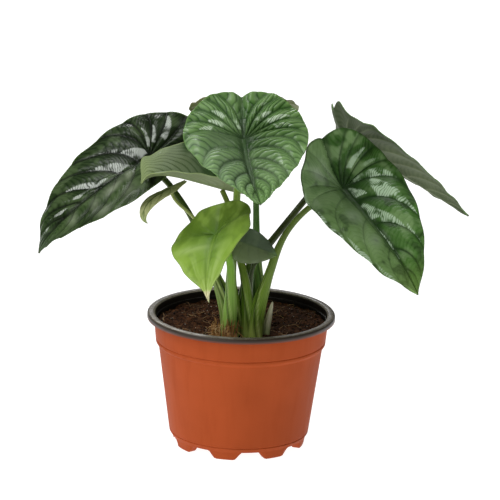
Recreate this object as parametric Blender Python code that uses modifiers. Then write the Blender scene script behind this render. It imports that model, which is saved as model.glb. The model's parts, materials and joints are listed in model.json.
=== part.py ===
"""Potted mirror face alocasia: nine quilted leaves on long stems in a moulded
grower pot.

Metres, +Z up. The origin is the centre of the pot's underside, on the surface
that it stands on. -Y faces the viewer, +X is to the viewer's right.
"""
import math

import bmesh
import bpy
import numpy as np
from mathutils import noise

MM = 0.001

# Driving dimensions in mm
POT_RIM_RADIUS = 77.5
POT_HEIGHT = 111.0
POT_FOOT_RADIUS = 54.0
POT_SHEET = 1.2
LIP_HEIGHT = 4.5
LIP_WIDTH = 5.5
COLLAR_TOP_RADIUS = 72.0
COLLAR_FOOT_RADIUS = 70.0
COLLAR_FOOT_Z = 86.0
WALL_TOP_RADIUS = 67.8
WALL_TOP_Z = 84.0
WALL_FOOT_RADIUS = 57.7
WALL_FOOT_Z = 11.0
NOTCH_HEIGHT = 7.0
NOTCH_COUNT = 8
NOTCH_TURN = 10.6          # degrees from the front to the first notch
NOTCH_TOP_HALF = 7.5       # half angles of a notch, in degrees
NOTCH_FOOT_HALF = 13.8
DRAIN_HOLE_RADIUS = 3.0
SOIL_Z = 97.0              # at the crown
SOIL_RISE = 5.0            # towards the wall
STEM_DEPTH = 11.0          # how deep a stem stands in the potting mix
GAP = 0.3                  # between pieces that touch
SEAT = 0.6                 # between a blade's middle and the end of its stem
BLADE_THICKNESS = 1.0
RIDGE_HEIGHT = 1.3         # quilting between the side veins

TERRACOTTA = (0.42, 0.105, 0.040)
SOIL_BROWN = (0.030, 0.018, 0.011)
SHEATH_BROWN = (0.20, 0.12, 0.06)
SPIKE_GREEN = (0.42, 0.40, 0.24)
STEM_GREEN = (0.10, 0.19, 0.035)

# Each leaf: lengths in mm and angles in degrees. at is where the stem meets
# the blade; heading turns from the back (0) through the right (90) to the
# front (180); pitch lifts and roll tips the blade there. The front of the
# midrib droops, the back lobes tilt by lobe_tilt, and each half folds up from
# the midrib and curls down again towards its margin.
LEAVES = {
    "left": dict(
        front=127, back=50, sinus=44, width=98, at=(-79, 60, 226),
        heading=-106, pitch=-23, roll=-16, droop=60, droop_power=2.6,
        lobe_tilt=6, fold=(38, 22), curl=(34, 15), sweep=-6, rows=24,
        full=0.95, flatten=1.0,
        base=(-16, -8), via=((-24, 0, 145), (-43, 22, 185), (-61, 45, 205)),
        stem=4.4, sheath=8.4, green=(0.020, 0.045, 0.022)),
    "centre": dict(
        front=76, back=49, sinus=46, width=100, at=(-1, -47, 271),
        heading=176, pitch=-22, roll=0, droop=18, droop_power=1.5,
        lobe_tilt=-16, fold=(13, 10), curl=(15, 15), sweep=-15, rows=24,
        full=1.0, flatten=0.25,
        base=(-5, -20), via=((-9, -21, 140), (-8, -25, 170), (-6, -34, 211), (-4, -44, 247)),
        stem=5.2, sheath=8.6, green=(0.065, 0.17, 0.045)),
    "side": dict(
        front=71, back=42, sinus=36, width=84, at=(-18, 0, 216),
        heading=-95, pitch=16, roll=-7, droop=80, droop_power=5,
        lobe_tilt=-6, fold=(37, 37), curl=(5, 5), sweep=0, rows=24,
        full=1.0, flatten=0.25,
        base=(5, -22), via=((3, -19, 140), (-4, -13, 168), (-13, -2, 204)),
        stem=3.8, sheath=8.2, green=(0.13, 0.19, 0.10)),
    "small": dict(
        front=43, back=15, sinus=12, width=22, at=(-61, 20, 208),
        heading=-115, pitch=-22, roll=0, droop=130, droop_power=2.5,
        lobe_tilt=0, fold=(-12, -12), curl=(0, 0), sweep=0, rows=14,
        full=1.0, flatten=0.25,
        base=(-17, -19), via=((-18, -18, 120), (-23, -11, 144), (-40, 5, 188)),
        stem=2.8, sheath=7.0, green=(0.15, 0.20, 0.05)),
    "young": dict(
        front=53, back=28, sinus=25, width=84, at=(-22, -68, 196),
        heading=-159, pitch=-30, roll=22, droop=60, droop_power=1,
        lobe_tilt=-24, fold=(26, 5), curl=(15, 15), sweep=15, rows=18,
        full=1.0, flatten=0.25,
        base=(-10, -30), via=((-9, -32, 139), (-10, -43, 166), (-16, -58, 186)),
        stem=4.2, sheath=8.4, green=(0.20, 0.36, 0.055)),
    "dark": dict(
        front=31, back=14, sinus=11, width=28, at=(1, -42, 182),
        heading=102, pitch=-15, roll=58, droop=20, droop_power=1.5,
        lobe_tilt=0, fold=(2, 2), curl=(20, 20), sweep=0, rows=14,
        full=1.0, flatten=0.25,
        base=(-3, -8), via=((1, -9, 132), (4, -12, 150), (6, -27, 170)),
        stem=3.0, sheath=6.4, green=(0.055, 0.085, 0.040)),
    "back": dict(
        front=90, back=42, sinus=38, width=92, at=(-2, 55, 268),
        heading=5, pitch=-22, roll=-4, droop=20, droop_power=1.5,
        lobe_tilt=-10, fold=(8, 8), curl=(5, 5), sweep=0, rows=24,
        full=1.0, flatten=0.25,
        base=(14, 0), via=((13, 4, 138), (11, 14, 172), (10, 26, 201), (6, 42, 241)),
        stem=4.4, sheath=8.4, green=(0.075, 0.15, 0.05)),
    "right": dict(
        front=107, back=48, sinus=42, width=102, at=(81, -22, 224),
        heading=125, pitch=-38, roll=13, droop=26, droop_power=2,
        lobe_tilt=-38, fold=(18, 18), curl=(8, 8), sweep=0, rows=24,
        full=1.0, flatten=0.25,
        base=(15, -22), via=((19, -22, 135), (24, -22, 157), (38, -22, 190), (60, -22, 212)),
        stem=4.6, sheath=8.6, green=(0.045, 0.12, 0.045)),
    "far": dict(
        front=118, back=36, sinus=30, width=86, at=(87, 28, 251),
        heading=85, pitch=-32, roll=-24, droop=0, droop_power=1,
        lobe_tilt=-45, fold=(18, 18), curl=(8, 8), sweep=0, rows=24,
        full=0.6, flatten=0.25,
        base=(5, -4), via=((4, -4, 135), (7, -3, 151), (21, 0, 169), (52, 12, 207)),
        stem=3.9, sheath=8.0, green=(0.10, 0.11, 0.085)),
}


def clear_scene():
    for obj in list(bpy.data.objects):
        bpy.data.objects.remove(obj, do_unlink=True)


def new_collection(name):
    collection = bpy.data.collections.new(name)
    bpy.context.scene.collection.children.link(collection)
    return collection


def material(name, color, roughness):
    mat = bpy.data.materials.new(name)
    mat.use_nodes = True
    shader = mat.node_tree.nodes["Principled BSDF"]
    shader.inputs["Base Color"].default_value = (*color, 1.0)
    shader.inputs["Roughness"].default_value = roughness
    shader.inputs["Metallic"].default_value = 0.0
    mat.diffuse_color = (*color, 1.0)
    return mat


def add_object(name, bm, mat, collection):
    """A new object from a bmesh in mm."""
    bmesh.ops.scale(bm, vec=(MM, MM, MM), verts=bm.verts)
    mesh = bpy.data.meshes.new(name)
    bm.to_mesh(mesh)
    bm.free()
    mesh.shade_smooth()
    obj = bpy.data.objects.new(name, mesh)
    if mat:
        mesh.materials.append(mat)
    collection.objects.link(obj)
    return obj


def apply_modifiers(obj):
    """Replace an object's mesh by what its modifiers make of it."""
    graph = bpy.context.evaluated_depsgraph_get()
    mesh = bpy.data.meshes.new_from_object(obj.evaluated_get(graph))
    obj.modifiers.clear()
    obj.data = mesh


def cut(obj, cutter):
    boolean = obj.modifiers.new("cut_" + cutter.name, "BOOLEAN")
    boolean.operation = "DIFFERENCE"
    boolean.solver = "EXACT"
    boolean.object = cutter
    cutter.hide_render = True
    cutter.display_type = "WIRE"


def smooth_route(points, spans):
    """A smooth curve through points, with spans samples between two."""
    p = np.array(points, float)
    step = np.diff(p, axis=0)
    length = np.linalg.norm(step, axis=1)[:, None]
    heading = step / length
    between = (length[1:] * heading[:-1] + length[:-1] * heading[1:]) / (length[1:] + length[:-1])
    slope = np.vstack([heading[:1], between, heading[-1:]])
    route = []
    for i in range(len(step)):
        for t in np.arange(spans) / spans:
            ease = t * t * (3 - 2 * t)
            bow = length[i] * t * (1 - t) * ((1 - t) * slope[i] - t * slope[i + 1])
            route.append(p[i] + step[i] * ease + bow)
    route.append(p[-1])
    return np.array(route)


# Pot

def pot_profile():
    """The sheet's outer face from the centre of the floor to the lip."""
    ledge = POT_HEIGHT - LIP_HEIGHT
    hook = POT_HEIGHT - POT_SHEET
    lip_inner = POT_RIM_RADIUS - POT_SHEET
    return [
        (0, 0), (26, 0), (29, NOTCH_HEIGHT), (45.5, NOTCH_HEIGHT), (48, 0),
        (POT_FOOT_RADIUS, 0), (POT_FOOT_RADIUS + 1.5, NOTCH_HEIGHT),
        (WALL_FOOT_RADIUS, WALL_FOOT_Z),
        (61.2, 36), (64.5, 60), (WALL_TOP_RADIUS, WALL_TOP_Z),
        (COLLAR_FOOT_RADIUS, COLLAR_FOOT_Z), (COLLAR_TOP_RADIUS, ledge),
        (COLLAR_TOP_RADIUS, hook), (lip_inner, hook), (lip_inner, ledge),
    ]


def notch_rays():
    """Azimuths of the pot's rays: seven to each notch, on its corners."""
    corner = (NOTCH_TOP_HALF, NOTCH_FOOT_HALF, 19.0)
    sector = [-c for c in reversed(corner)] + [0.0] + list(corner)
    step = 360 / NOTCH_COUNT
    return [NOTCH_TURN + step * k + a for k in range(NOTCH_COUNT) for a in sector]


def make_pot(collection, cutters):
    rays = notch_rays()
    profile = bpy.data.meshes.new("pot_profile")
    points = [(r * MM, 0, z * MM) for r, z in reversed(pot_profile())]
    profile.from_pydata(points, [(i, i + 1) for i in range(len(points) - 1)], [])
    pot = bpy.data.objects.new("pot", profile)
    collection.objects.link(pot)
    screw = pot.modifiers.new("turn", "SCREW")
    screw.steps = screw.render_steps = len(rays)
    screw.use_merge_vertices = True
    screw.merge_threshold = 0.00001
    screw.use_smooth_shade = True
    apply_modifiers(pot)
    # The turned sheet is pressed: its rays move to the notches' corners, and
    # inside a notch the foot is pushed up to the floor.
    width = 360 / len(rays)
    for vert in pot.data.vertices:
        x, y, z = vert.co
        radius = math.hypot(x, y)
        if radius < MM:
            continue
        index = round(math.degrees(math.atan2(y, x)) / width) % len(rays)
        turn = math.radians(rays[index] - 90)
        vert.co.x = radius * math.cos(turn)
        vert.co.y = radius * math.sin(turn)
        in_notch = abs(index % 7 - 3) <= 1
        if in_notch and z < NOTCH_HEIGHT * MM * 0.5 and radius > 40 * MM:
            vert.co.z = NOTCH_HEIGHT * MM
    pot.data.materials.append(material("terracotta_plastic", TERRACOTTA, 0.42))
    sheet = pot.modifiers.new("sheet", "SOLIDIFY")
    sheet.thickness = POT_SHEET * MM
    sheet.offset = -1.0
    sheet.use_even_offset = True
    bm = bmesh.new()
    for k in range(NOTCH_COUNT):
        turn = math.radians(NOTCH_TURN + 360 / NOTCH_COUNT * k - 90)
        hole = bmesh.ops.create_cone(bm, cap_ends=True, segments=12, depth=8,
                                     radius1=DRAIN_HOLE_RADIUS, radius2=DRAIN_HOLE_RADIUS)
        bmesh.ops.translate(bm, verts=hole["verts"],
                            vec=(40 * math.cos(turn), 40 * math.sin(turn), NOTCH_HEIGHT))
    cut(pot, add_object("drain_holes", bm, None, cutters))
    return pot


# Potting mix

def soil_top(x, y):
    """Height of the potting mix: level at the crown, lumpy and higher around."""
    away = math.hypot(x, (y + 16) * 1.15)
    t = min(1.0, max(0.0, (away - 27) / 36))
    lumps = noise.fractal((x * 0.09, y * 0.09, 3.0), 0.9, 2.1, 3)
    return SOIL_Z + t * t * (3 - 2 * t) * SOIL_RISE + min(1, 2 * t) * 1.3 * lumps


def make_soil(collection, cutters):
    clear = POT_SHEET + GAP + 0.25
    top_rings = (0, 10, 19, 28, 37, 46, 54, 61, 66)
    wall = [
        (COLLAR_TOP_RADIUS - clear - 0.9, SOIL_Z + SOIL_RISE - 3),
        (COLLAR_FOOT_RADIUS - clear - 0.1, COLLAR_FOOT_Z + 2),
        (WALL_TOP_RADIUS - clear - 0.2, WALL_TOP_Z),
        (WALL_FOOT_RADIUS - clear - 0.3, WALL_FOOT_Z + 1),
        (WALL_FOOT_RADIUS - clear - 2.4, NOTCH_HEIGHT + POT_SHEET + GAP),
        (0, NOTCH_HEIGHT + POT_SHEET + GAP),
    ]
    points = [(r * MM, 0, SOIL_Z * MM) for r in top_rings] + [(r * MM, 0, z * MM) for r, z in wall]
    profile = bpy.data.meshes.new("soil_profile")
    profile.from_pydata(points, [(i, i + 1) for i in range(len(points) - 1)], [])
    soil = bpy.data.objects.new("potting_mix", profile)
    collection.objects.link(soil)
    screw = soil.modifiers.new("turn", "SCREW")
    screw.steps = screw.render_steps = 44
    screw.use_merge_vertices = True
    screw.merge_threshold = 0.00001
    apply_modifiers(soil)
    for vert in soil.data.vertices:
        radius = math.hypot(vert.co.x, vert.co.y)
        if vert.co.z > (SOIL_Z - 0.5) * MM and radius < 66.5 * MM:
            vert.co.z = soil_top(vert.co.x / MM, vert.co.y / MM) * MM
    soil.data.materials.append(material("potting_mix", SOIL_BROWN, 0.95))
    soil.data.shade_smooth()
    bm = bmesh.new()
    for leaf in LEAVES.values():
        add_hole(bm, leaf["base"], leaf["sheath"] / 2)
    add_hole(bm, SPIKE_BASE, SPIKE_RADIUS)
    cut(soil, add_object("stem_holes", bm, None, cutters))
    return soil


def add_hole(bm, base, radius):
    depth = STEM_DEPTH + GAP
    hole = bmesh.ops.create_cone(bm, cap_ends=True, segments=12, depth=depth + 8,
                                 radius1=radius + 2 * GAP, radius2=radius + 2 * GAP)
    middle = SOIL_Z - depth + (depth + 8) / 2
    bmesh.ops.translate(bm, verts=hole["verts"], vec=(*base, middle))


# Leaves

def half_outline(leaf):
    """The flat right half from the notch between the lobes to the tip.

    A leaf that is full has a rounded margin ahead of its widest place, and one
    that isn't runs straight from there to the tip.
    """
    front, back, sinus, half = leaf["front"], leaf["back"], leaf["sinus"], leaf["width"] / 2
    full = leaf["full"]
    return smooth_route([
        (0, -sinus), (0.09 * half, -sinus - 0.7 * (back - sinus)), (0.33 * half, -back),
        (0.76 * half, -0.68 * back), (0.985 * half, -0.10 * back + 0.025 * front),
        ((0.85 + 0.135 * full) * half, 0.15 * front), ((0.58 + 0.26 * full) * half, 0.42 * front),
        ((0.28 + 0.22 * full) * half, 0.72 * front),
        ((0.085 + 0.085 * full) * half, 0.915 * front), (0, front)], 10)


def along(outline, u):
    """Points at fractions u of the outline's length."""
    steps = np.linalg.norm(np.diff(outline, axis=0), axis=1)
    run = np.concatenate([[0], np.cumsum(steps)]) / steps.sum()
    return np.interp(u, run, outline[:, 0]), np.interp(u, run, outline[:, 1])


def flat_blade(leaf, u, v):
    """Flat place of the blade's point u along the margin, v out from the midrib.

    Lines of one u run as the side veins do: those of the back lobes fan out
    from the stem, and the others leave the midrib and arch forwards.
    """
    first = 0.40
    edge_x, edge_y = along(half_outline(leaf), u)
    start = leaf["front"] * np.clip((u - first) / (1 - first), 0, 1) ** 1.1
    bend_x, bend_y = 0.55 * edge_x, start + 0.30 * (edge_y - start)
    out = np.abs(v)
    x = 2 * (1 - out) * out * bend_x + out ** 2 * edge_x
    y = (1 - out) ** 2 * start + 2 * (1 - out) * out * bend_y + out ** 2 * edge_y
    return np.sign(v) * x, y


def arc(length, turn, power, full_at=1.0):
    """Run and drop along a line that turns down by turn over its length."""
    s = np.linspace(0, length, 200)
    angle = turn * np.clip(s / (length * full_at), 0, 1) ** power
    step = s[1]
    run = np.concatenate([[0], np.cumsum(np.cos(angle[:-1]) * step)])
    drop = np.concatenate([[0], np.cumsum(np.sin(angle[:-1]) * step)])
    return s, angle, run, drop


def bend_blade(leaf, x, y, lift):
    """Flat points, raised by lift, to the arched and folded leaf."""
    half = leaf["width"] / 2
    s, angle, run, drop = arc(leaf["front"], math.radians(leaf["droop"]), leaf["droop_power"])
    s2, angle2, run2, drop2 = arc(leaf["back"], math.radians(leaf["lobe_tilt"]), 0.7, 0.6)
    ahead = y >= 0
    place_y = np.where(ahead, np.interp(y, s, run), -np.interp(-y, s2, run2))
    place_z = -np.where(ahead, np.interp(y, s, drop), np.interp(-y, s2, drop2))
    slope = np.where(ahead, -np.interp(y, s, angle), np.interp(-y, s2, angle2))
    fold = np.radians(np.where(x < 0, leaf["fold"][0], leaf["fold"][1]))
    fold = fold * (1 - leaf["flatten"] * np.clip(y / leaf["front"], 0, 1))
    turn = np.radians(np.where(x < 0, leaf["curl"][0], leaf["curl"][1])) / half + 1e-6
    end = fold - turn * np.abs(x)
    side = np.sign(x) * (np.sin(fold) - np.sin(end)) / turn - np.sign(x) * np.sin(end) * lift
    rise = (np.cos(end) - np.cos(fold)) / turn + np.cos(end) * lift
    if leaf["sweep"]:
        total = math.radians(leaf["sweep"])
        side = side + leaf["front"] / total * (1 - np.cos(total * np.clip(y / leaf["front"], 0, 1)))
    return np.stack([side, place_y - rise * np.sin(slope), place_z + rise * np.cos(slope)], -1)


def turned(leaf):
    """Rotation from leaf space: y ahead along the midrib, z up."""
    a, p, r = (math.radians(leaf[k]) for k in ("heading", "pitch", "roll"))
    about_z = np.array([[math.cos(a), math.sin(a), 0], [-math.sin(a), math.cos(a), 0], [0, 0, 1]])
    about_x = np.array([[1, 0, 0], [0, math.cos(p), -math.sin(p)], [0, math.sin(p), math.cos(p)]])
    about_y = np.array([[math.cos(r), 0, math.sin(r)], [0, 1, 0], [-math.sin(r), 0, math.cos(r)]])
    return about_z @ about_x @ about_y


def blade_points(leaf, u, v, lift):
    x, y = flat_blade(leaf, u, v)
    return bend_blade(leaf, x, y, lift) @ turned(leaf).T + np.array(leaf["at"], float)


def make_blade(name, leaf, collection):
    rows, columns = leaf["rows"], 4 if leaf["rows"] > 20 else 3
    bm = bmesh.new()
    bmesh.ops.create_grid(bm, x_segments=2 * columns, y_segments=rows, size=1)
    verts = list(bm.verts)
    v = np.array([vert.co.x for vert in verts])
    u = np.array([(vert.co.y + 1) / 2 for vert in verts])
    row = np.round(u * rows)
    column = np.round(np.abs(v) * columns)
    # Every second row is a ridge, and the midrib and the margin stay low.
    on_ridge = (row % 2 == 1) & (column > 0) & (column < columns)
    lift = np.where(on_ridge, RIDGE_HEIGHT, 0.0) * min(1, leaf["width"] / 70)
    lift = lift + np.where(column == columns, 0.9 * np.sin(row * 1.9) * leaf["width"] / 100, 0)
    for vert, place in zip(verts, blade_points(leaf, u, v, lift)):
        vert.co = place
    bmesh.ops.remove_doubles(bm, verts=bm.verts, dist=0.01)
    bmesh.ops.triangulate(bm, faces=bm.faces)
    bmesh.ops.recalc_face_normals(bm, faces=bm.faces)
    blade = add_object(name, bm, material(name, leaf["green"], 0.35), collection)
    body = blade.modifiers.new("body", "SOLIDIFY")
    body.thickness = BLADE_THICKNESS * MM
    body.offset = 0.0
    return blade


def stem_route(leaf):
    """From the foot in the potting mix to just under the blade."""
    up = turned(leaf) @ np.array([0, 0, 1.0])
    top = np.array(leaf["at"], float) - up * (BLADE_THICKNESS / 2 + SEAT)
    x, y = leaf["base"]
    foot = (x, y, SOIL_Z - STEM_DEPTH)
    collar = (x, y, SOIL_Z + 5)
    return smooth_route([foot, collar, *leaf["via"], tuple(top - 7 * up), tuple(top)], 3)


def make_stem(name, leaf, collection):
    route = stem_route(leaf)
    curve = bpy.data.curves.new(name, "CURVE")
    curve.dimensions = "3D"
    curve.bevel_depth = leaf["stem"] / 2 * MM
    curve.bevel_resolution = 2
    curve.use_fill_caps = True
    spline = curve.splines.new("POLY")
    spline.points.add(len(route) - 1)
    for point, place in zip(spline.points, route):
        high = min(1.0, max(0.0, (place[2] - SOIL_Z - 5) / 42))
        point.co = (*(place * MM), 1.0)
        point.radius = 1 + (leaf["sheath"] / leaf["stem"] - 1) * (1 - high) ** 1.6
    curve.materials.append(material(name, STEM_GREEN, 0.40))
    stem = bpy.data.objects.new(name, curve)
    collection.objects.link(stem)
    return stem


# Old sheath and new spike at the crown

SHEATH_CENTRE = (-13.5, -25.0)
SHEATH_RADIUS = 11.2
SHEATH_SPAN = (-130, -45)
SHEATH_HEIGHT = 19.0
SPIKE_BASE = (21, -5)
SPIKE_RADIUS = 2.3
SPIKE_TIP = (27, -7, 122)


def make_old_sheath(collection):
    """A brown fibrous sleeve, split into teeth at its top."""
    columns, rows = 16, 4
    bm = bmesh.new()
    bmesh.ops.create_grid(bm, x_segments=columns, y_segments=rows, size=1)
    first, last = SHEATH_SPAN
    for vert in bm.verts:
        along_span, high = (vert.co.x + 1) / 2, (vert.co.y + 1) / 2
        turn = math.radians(first + (last - first) * along_span)
        tooth = 1.0 if round(along_span * columns) % 2 else 0.72
        edge = 0.55 + 0.45 * math.sin(math.pi * along_span)
        flare = 1.0 + 0.12 * high * high
        vert.co = (SHEATH_CENTRE[0] + SHEATH_RADIUS * flare * math.cos(turn),
                   SHEATH_CENTRE[1] + SHEATH_RADIUS * flare * math.sin(turn),
                   SOIL_Z + GAP + SHEATH_HEIGHT * high * tooth ** high * edge)
    bmesh.ops.triangulate(bm, faces=bm.faces)
    sheath = add_object("old_sheath", bm, material("old_sheath", SHEATH_BROWN, 0.9), collection)
    body = sheath.modifiers.new("body", "SOLIDIFY")
    body.thickness = 0.8 * MM
    body.offset = 0.0
    return sheath


def make_spike(collection):
    """The pale pointed scale of the next leaf."""
    x, y = SPIKE_BASE
    route = smooth_route([(x, y, SOIL_Z - STEM_DEPTH), (x, y, SOIL_Z + 3),
                          (23, -5.5, 110), SPIKE_TIP], 4)
    curve = bpy.data.curves.new("new_spike", "CURVE")
    curve.dimensions = "3D"
    curve.bevel_depth = SPIKE_RADIUS * MM
    curve.bevel_resolution = 2
    curve.use_fill_caps = True
    spline = curve.splines.new("POLY")
    spline.points.add(len(route) - 1)
    for index, (point, place) in enumerate(zip(spline.points, route)):
        point.co = (*(place * MM), 1.0)
        point.radius = 1 - 0.88 * max(0.0, index / (len(route) - 1) - 0.3) / 0.7
    curve.materials.append(material("new_spike", SPIKE_GREEN, 0.5))
    spike = bpy.data.objects.new("new_spike", curve)
    collection.objects.link(spike)
    return spike


def main():
    clear_scene()
    plant = new_collection("potted_alocasia")
    cutters = new_collection("cutters")
    make_pot(plant, cutters)
    make_soil(plant, cutters)
    make_old_sheath(plant)
    make_spike(plant)
    for name, leaf in LEAVES.items():
        make_stem(name + "_stem", leaf, plant)
        make_blade(name + "_blade", leaf, plant)


main()
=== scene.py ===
import json
import math
import random
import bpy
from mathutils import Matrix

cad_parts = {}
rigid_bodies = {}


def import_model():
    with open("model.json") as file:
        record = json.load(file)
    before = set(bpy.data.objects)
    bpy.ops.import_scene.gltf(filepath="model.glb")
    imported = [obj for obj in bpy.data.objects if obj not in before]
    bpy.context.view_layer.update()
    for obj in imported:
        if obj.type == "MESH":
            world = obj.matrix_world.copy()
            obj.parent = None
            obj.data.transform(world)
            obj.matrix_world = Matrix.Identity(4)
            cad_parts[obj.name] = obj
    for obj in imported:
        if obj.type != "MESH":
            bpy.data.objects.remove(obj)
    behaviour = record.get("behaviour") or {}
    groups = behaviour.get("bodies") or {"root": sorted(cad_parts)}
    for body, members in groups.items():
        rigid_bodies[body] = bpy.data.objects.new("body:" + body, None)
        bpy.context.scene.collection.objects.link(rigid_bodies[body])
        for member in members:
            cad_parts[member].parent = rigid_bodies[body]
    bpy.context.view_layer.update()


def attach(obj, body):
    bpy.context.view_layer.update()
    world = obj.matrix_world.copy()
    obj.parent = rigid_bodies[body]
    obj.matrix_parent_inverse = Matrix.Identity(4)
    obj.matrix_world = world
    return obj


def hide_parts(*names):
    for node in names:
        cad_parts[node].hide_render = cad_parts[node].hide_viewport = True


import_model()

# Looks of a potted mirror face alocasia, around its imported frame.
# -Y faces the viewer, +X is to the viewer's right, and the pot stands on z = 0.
from types import SimpleNamespace

import bpy
import numpy as np
from mathutils import Matrix, Vector, noise

MM = 0.001
ROOT = "root"
MERGE_DISTANCE = 0.02       # mm

# Pot and potting mix in mm, as in the frame
POT_RIM_RADIUS = 77.5
POT_HEIGHT = 111.0
POT_FOOT_RADIUS = 54.0
POT_SHEET = 1.2
LIP_HEIGHT = 4.5
COLLAR_TOP_RADIUS = 72.0
COLLAR_FOOT_RADIUS = 70.0
COLLAR_FOOT_Z = 86.0
WALL_TOP_RADIUS = 67.8
WALL_TOP_Z = 84.0
WALL_FOOT_RADIUS = 57.7
WALL_FOOT_Z = 11.0
NOTCH_HEIGHT = 7.0
NOTCH_COUNT = 8
NOTCH_TURN = 10.6
NOTCH_INNER_RADIUS = 40.0
NOTCH_TOP_HALF = 7.5
NOTCH_FOOT_HALF = 13.8
LEDGE_RADIUS = 70.4
LEDGE_Z = 104.5
LEDGE_BEAD = 0.6
SOIL_Z = 97.0
SOIL_RISE = 5.0             # from the level part round the crown to the pot
LEVEL_Y = -16.0
LEVEL_RADIUS = 27.0
SLOPE_WIDTH = 36.0
SOIL_GRID = (90, 260)       # rings and rays
STEM_DEPTH = 11.0
CRUMBS, SPECKS, ROOTS = 420, 200, 190
LITTER_SEED, CRUMB_SEED, SPECK_SEED, SHEATH_SEED = 11, 3, 5, 5

OLD_SHEATH_CENTRE = (-11.5, -25)
OLD_SHEATH_RADIUS = 11.2
OLD_SHEATH_FIRST, OLD_SHEATH_LAST = -150, -45     # degrees from the right
OLD_SHEATH_SHEET = 0.35
OLD_SHEATH_STRIPS = 26
OLD_SHEATH_FIBRES = 95
SPIKE_WIDTH = 5.8
SPIKE_DEPTH = 0.75          # of its width
SPIKE_SIDES, SPIKE_SPANS = 28, 12
SPIKE_ROUTE = ((21, -17, SOIL_Z - 6), (21, -17, SOIL_Z + 3), (22.8, -17.5, 112),
               (25.5, -18, 126))

# Leaves
BLADE_THICKNESS = 0.7
SEAT = 0.2                  # how far a stem's end goes into its blade
FIRST_SIDE_VEIN = 0.40      # where along the margin the veins start to leave the midrib
TAIL_START = 0.955          # where along the margin a tip starts to be drawn out
RIB_SPREAD = 1.1            # about half the width of the midrib, in mm
TROUGH_SPREAD = 3.6         # the same for the trough that it lies in
VEIN_SPREAD = 0.75          # the same for a side vein
MARGIN_WAVE = 0.7           # height of the waves along the margin, in mm

# The side veins' places along the margin from the notch to the tip
EVEN_VEINS = (-0.1, 0.1, 0.2, 0.3, 0.4, 0.5, 0.6, 0.7, 0.8, 0.9, 1.0)
FEW_VEINS = (-0.1, 0.18, 0.36, 0.52, 0.68, 0.84, 1.0)
MANY_VEINS = tuple(np.linspace(-0.1, 1.0, 19))

# Each leaf, in mm and degrees, line by line:
# Outline: from the stem's end, front goes to the tip, back to the ends of the lobes and
# sinus to the notch between them. full widens the outline near the tip, lobe the lobes
# and halves the left and right half. A bulge is a half, by how much it is wider, and
# the place and spread of that along the margin. tail draws out the tip.
# Place: at is where the stem ends on the blade. heading turns from the back to the
# right, pitch raises the tip and roll lowers the right half.
# Bend: droop turns the midrib down, with the power that shapes it, lobe_tilt the lobes.
# fold raises each half, less by flatten at the tip and by lobe_flat at the lobes. curl
# turns each margin down, sweep bends the leaf sideways and twist turns its tip.
# Stem: base is its foot, via its way, stem its width and neck its straight end. closer
# moves its foot.
# Relief: veins are the side veins' places along the margin, for each half. lean is how
# far they run ahead on the way out and arch how far they bow back before that. shift
# moves the midrib to one side. puff is the height of the quilted fields between veins,
# fine that of the ridges in them and ridges their number. grid is the points across
# and along. calm is how much relief each half has. A quiet spot has less: half, place
# and way out. crease is the depth of one crease across.
# Each streak of painted light has a place along and out, a spread along and out, and a
# strength: painted sheen, and on the side leaf painted shadow. Each patch of painted
# glint lies in one field: half, field, its ends out from the midrib, its ends from the
# rear to the front vein, and a strength.
USUAL_LEAF = dict(
    full=1.0, lobe=1.0, halves=(1.0, 1.0), bulges=(), tail=0, lobe_tilt=0, lobe_flat=0,
    flatten=0.25, sweep=0, twist=0, neck=7, closer=(0, 0), lean=0.10, arch=0.0, shift=0,
    calm=(1.0, 1.0), quiet=None, crease=0, smoke=(), patches=())


def leaf(**own):
    return SimpleNamespace(**{**USUAL_LEAF, **own})


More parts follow.
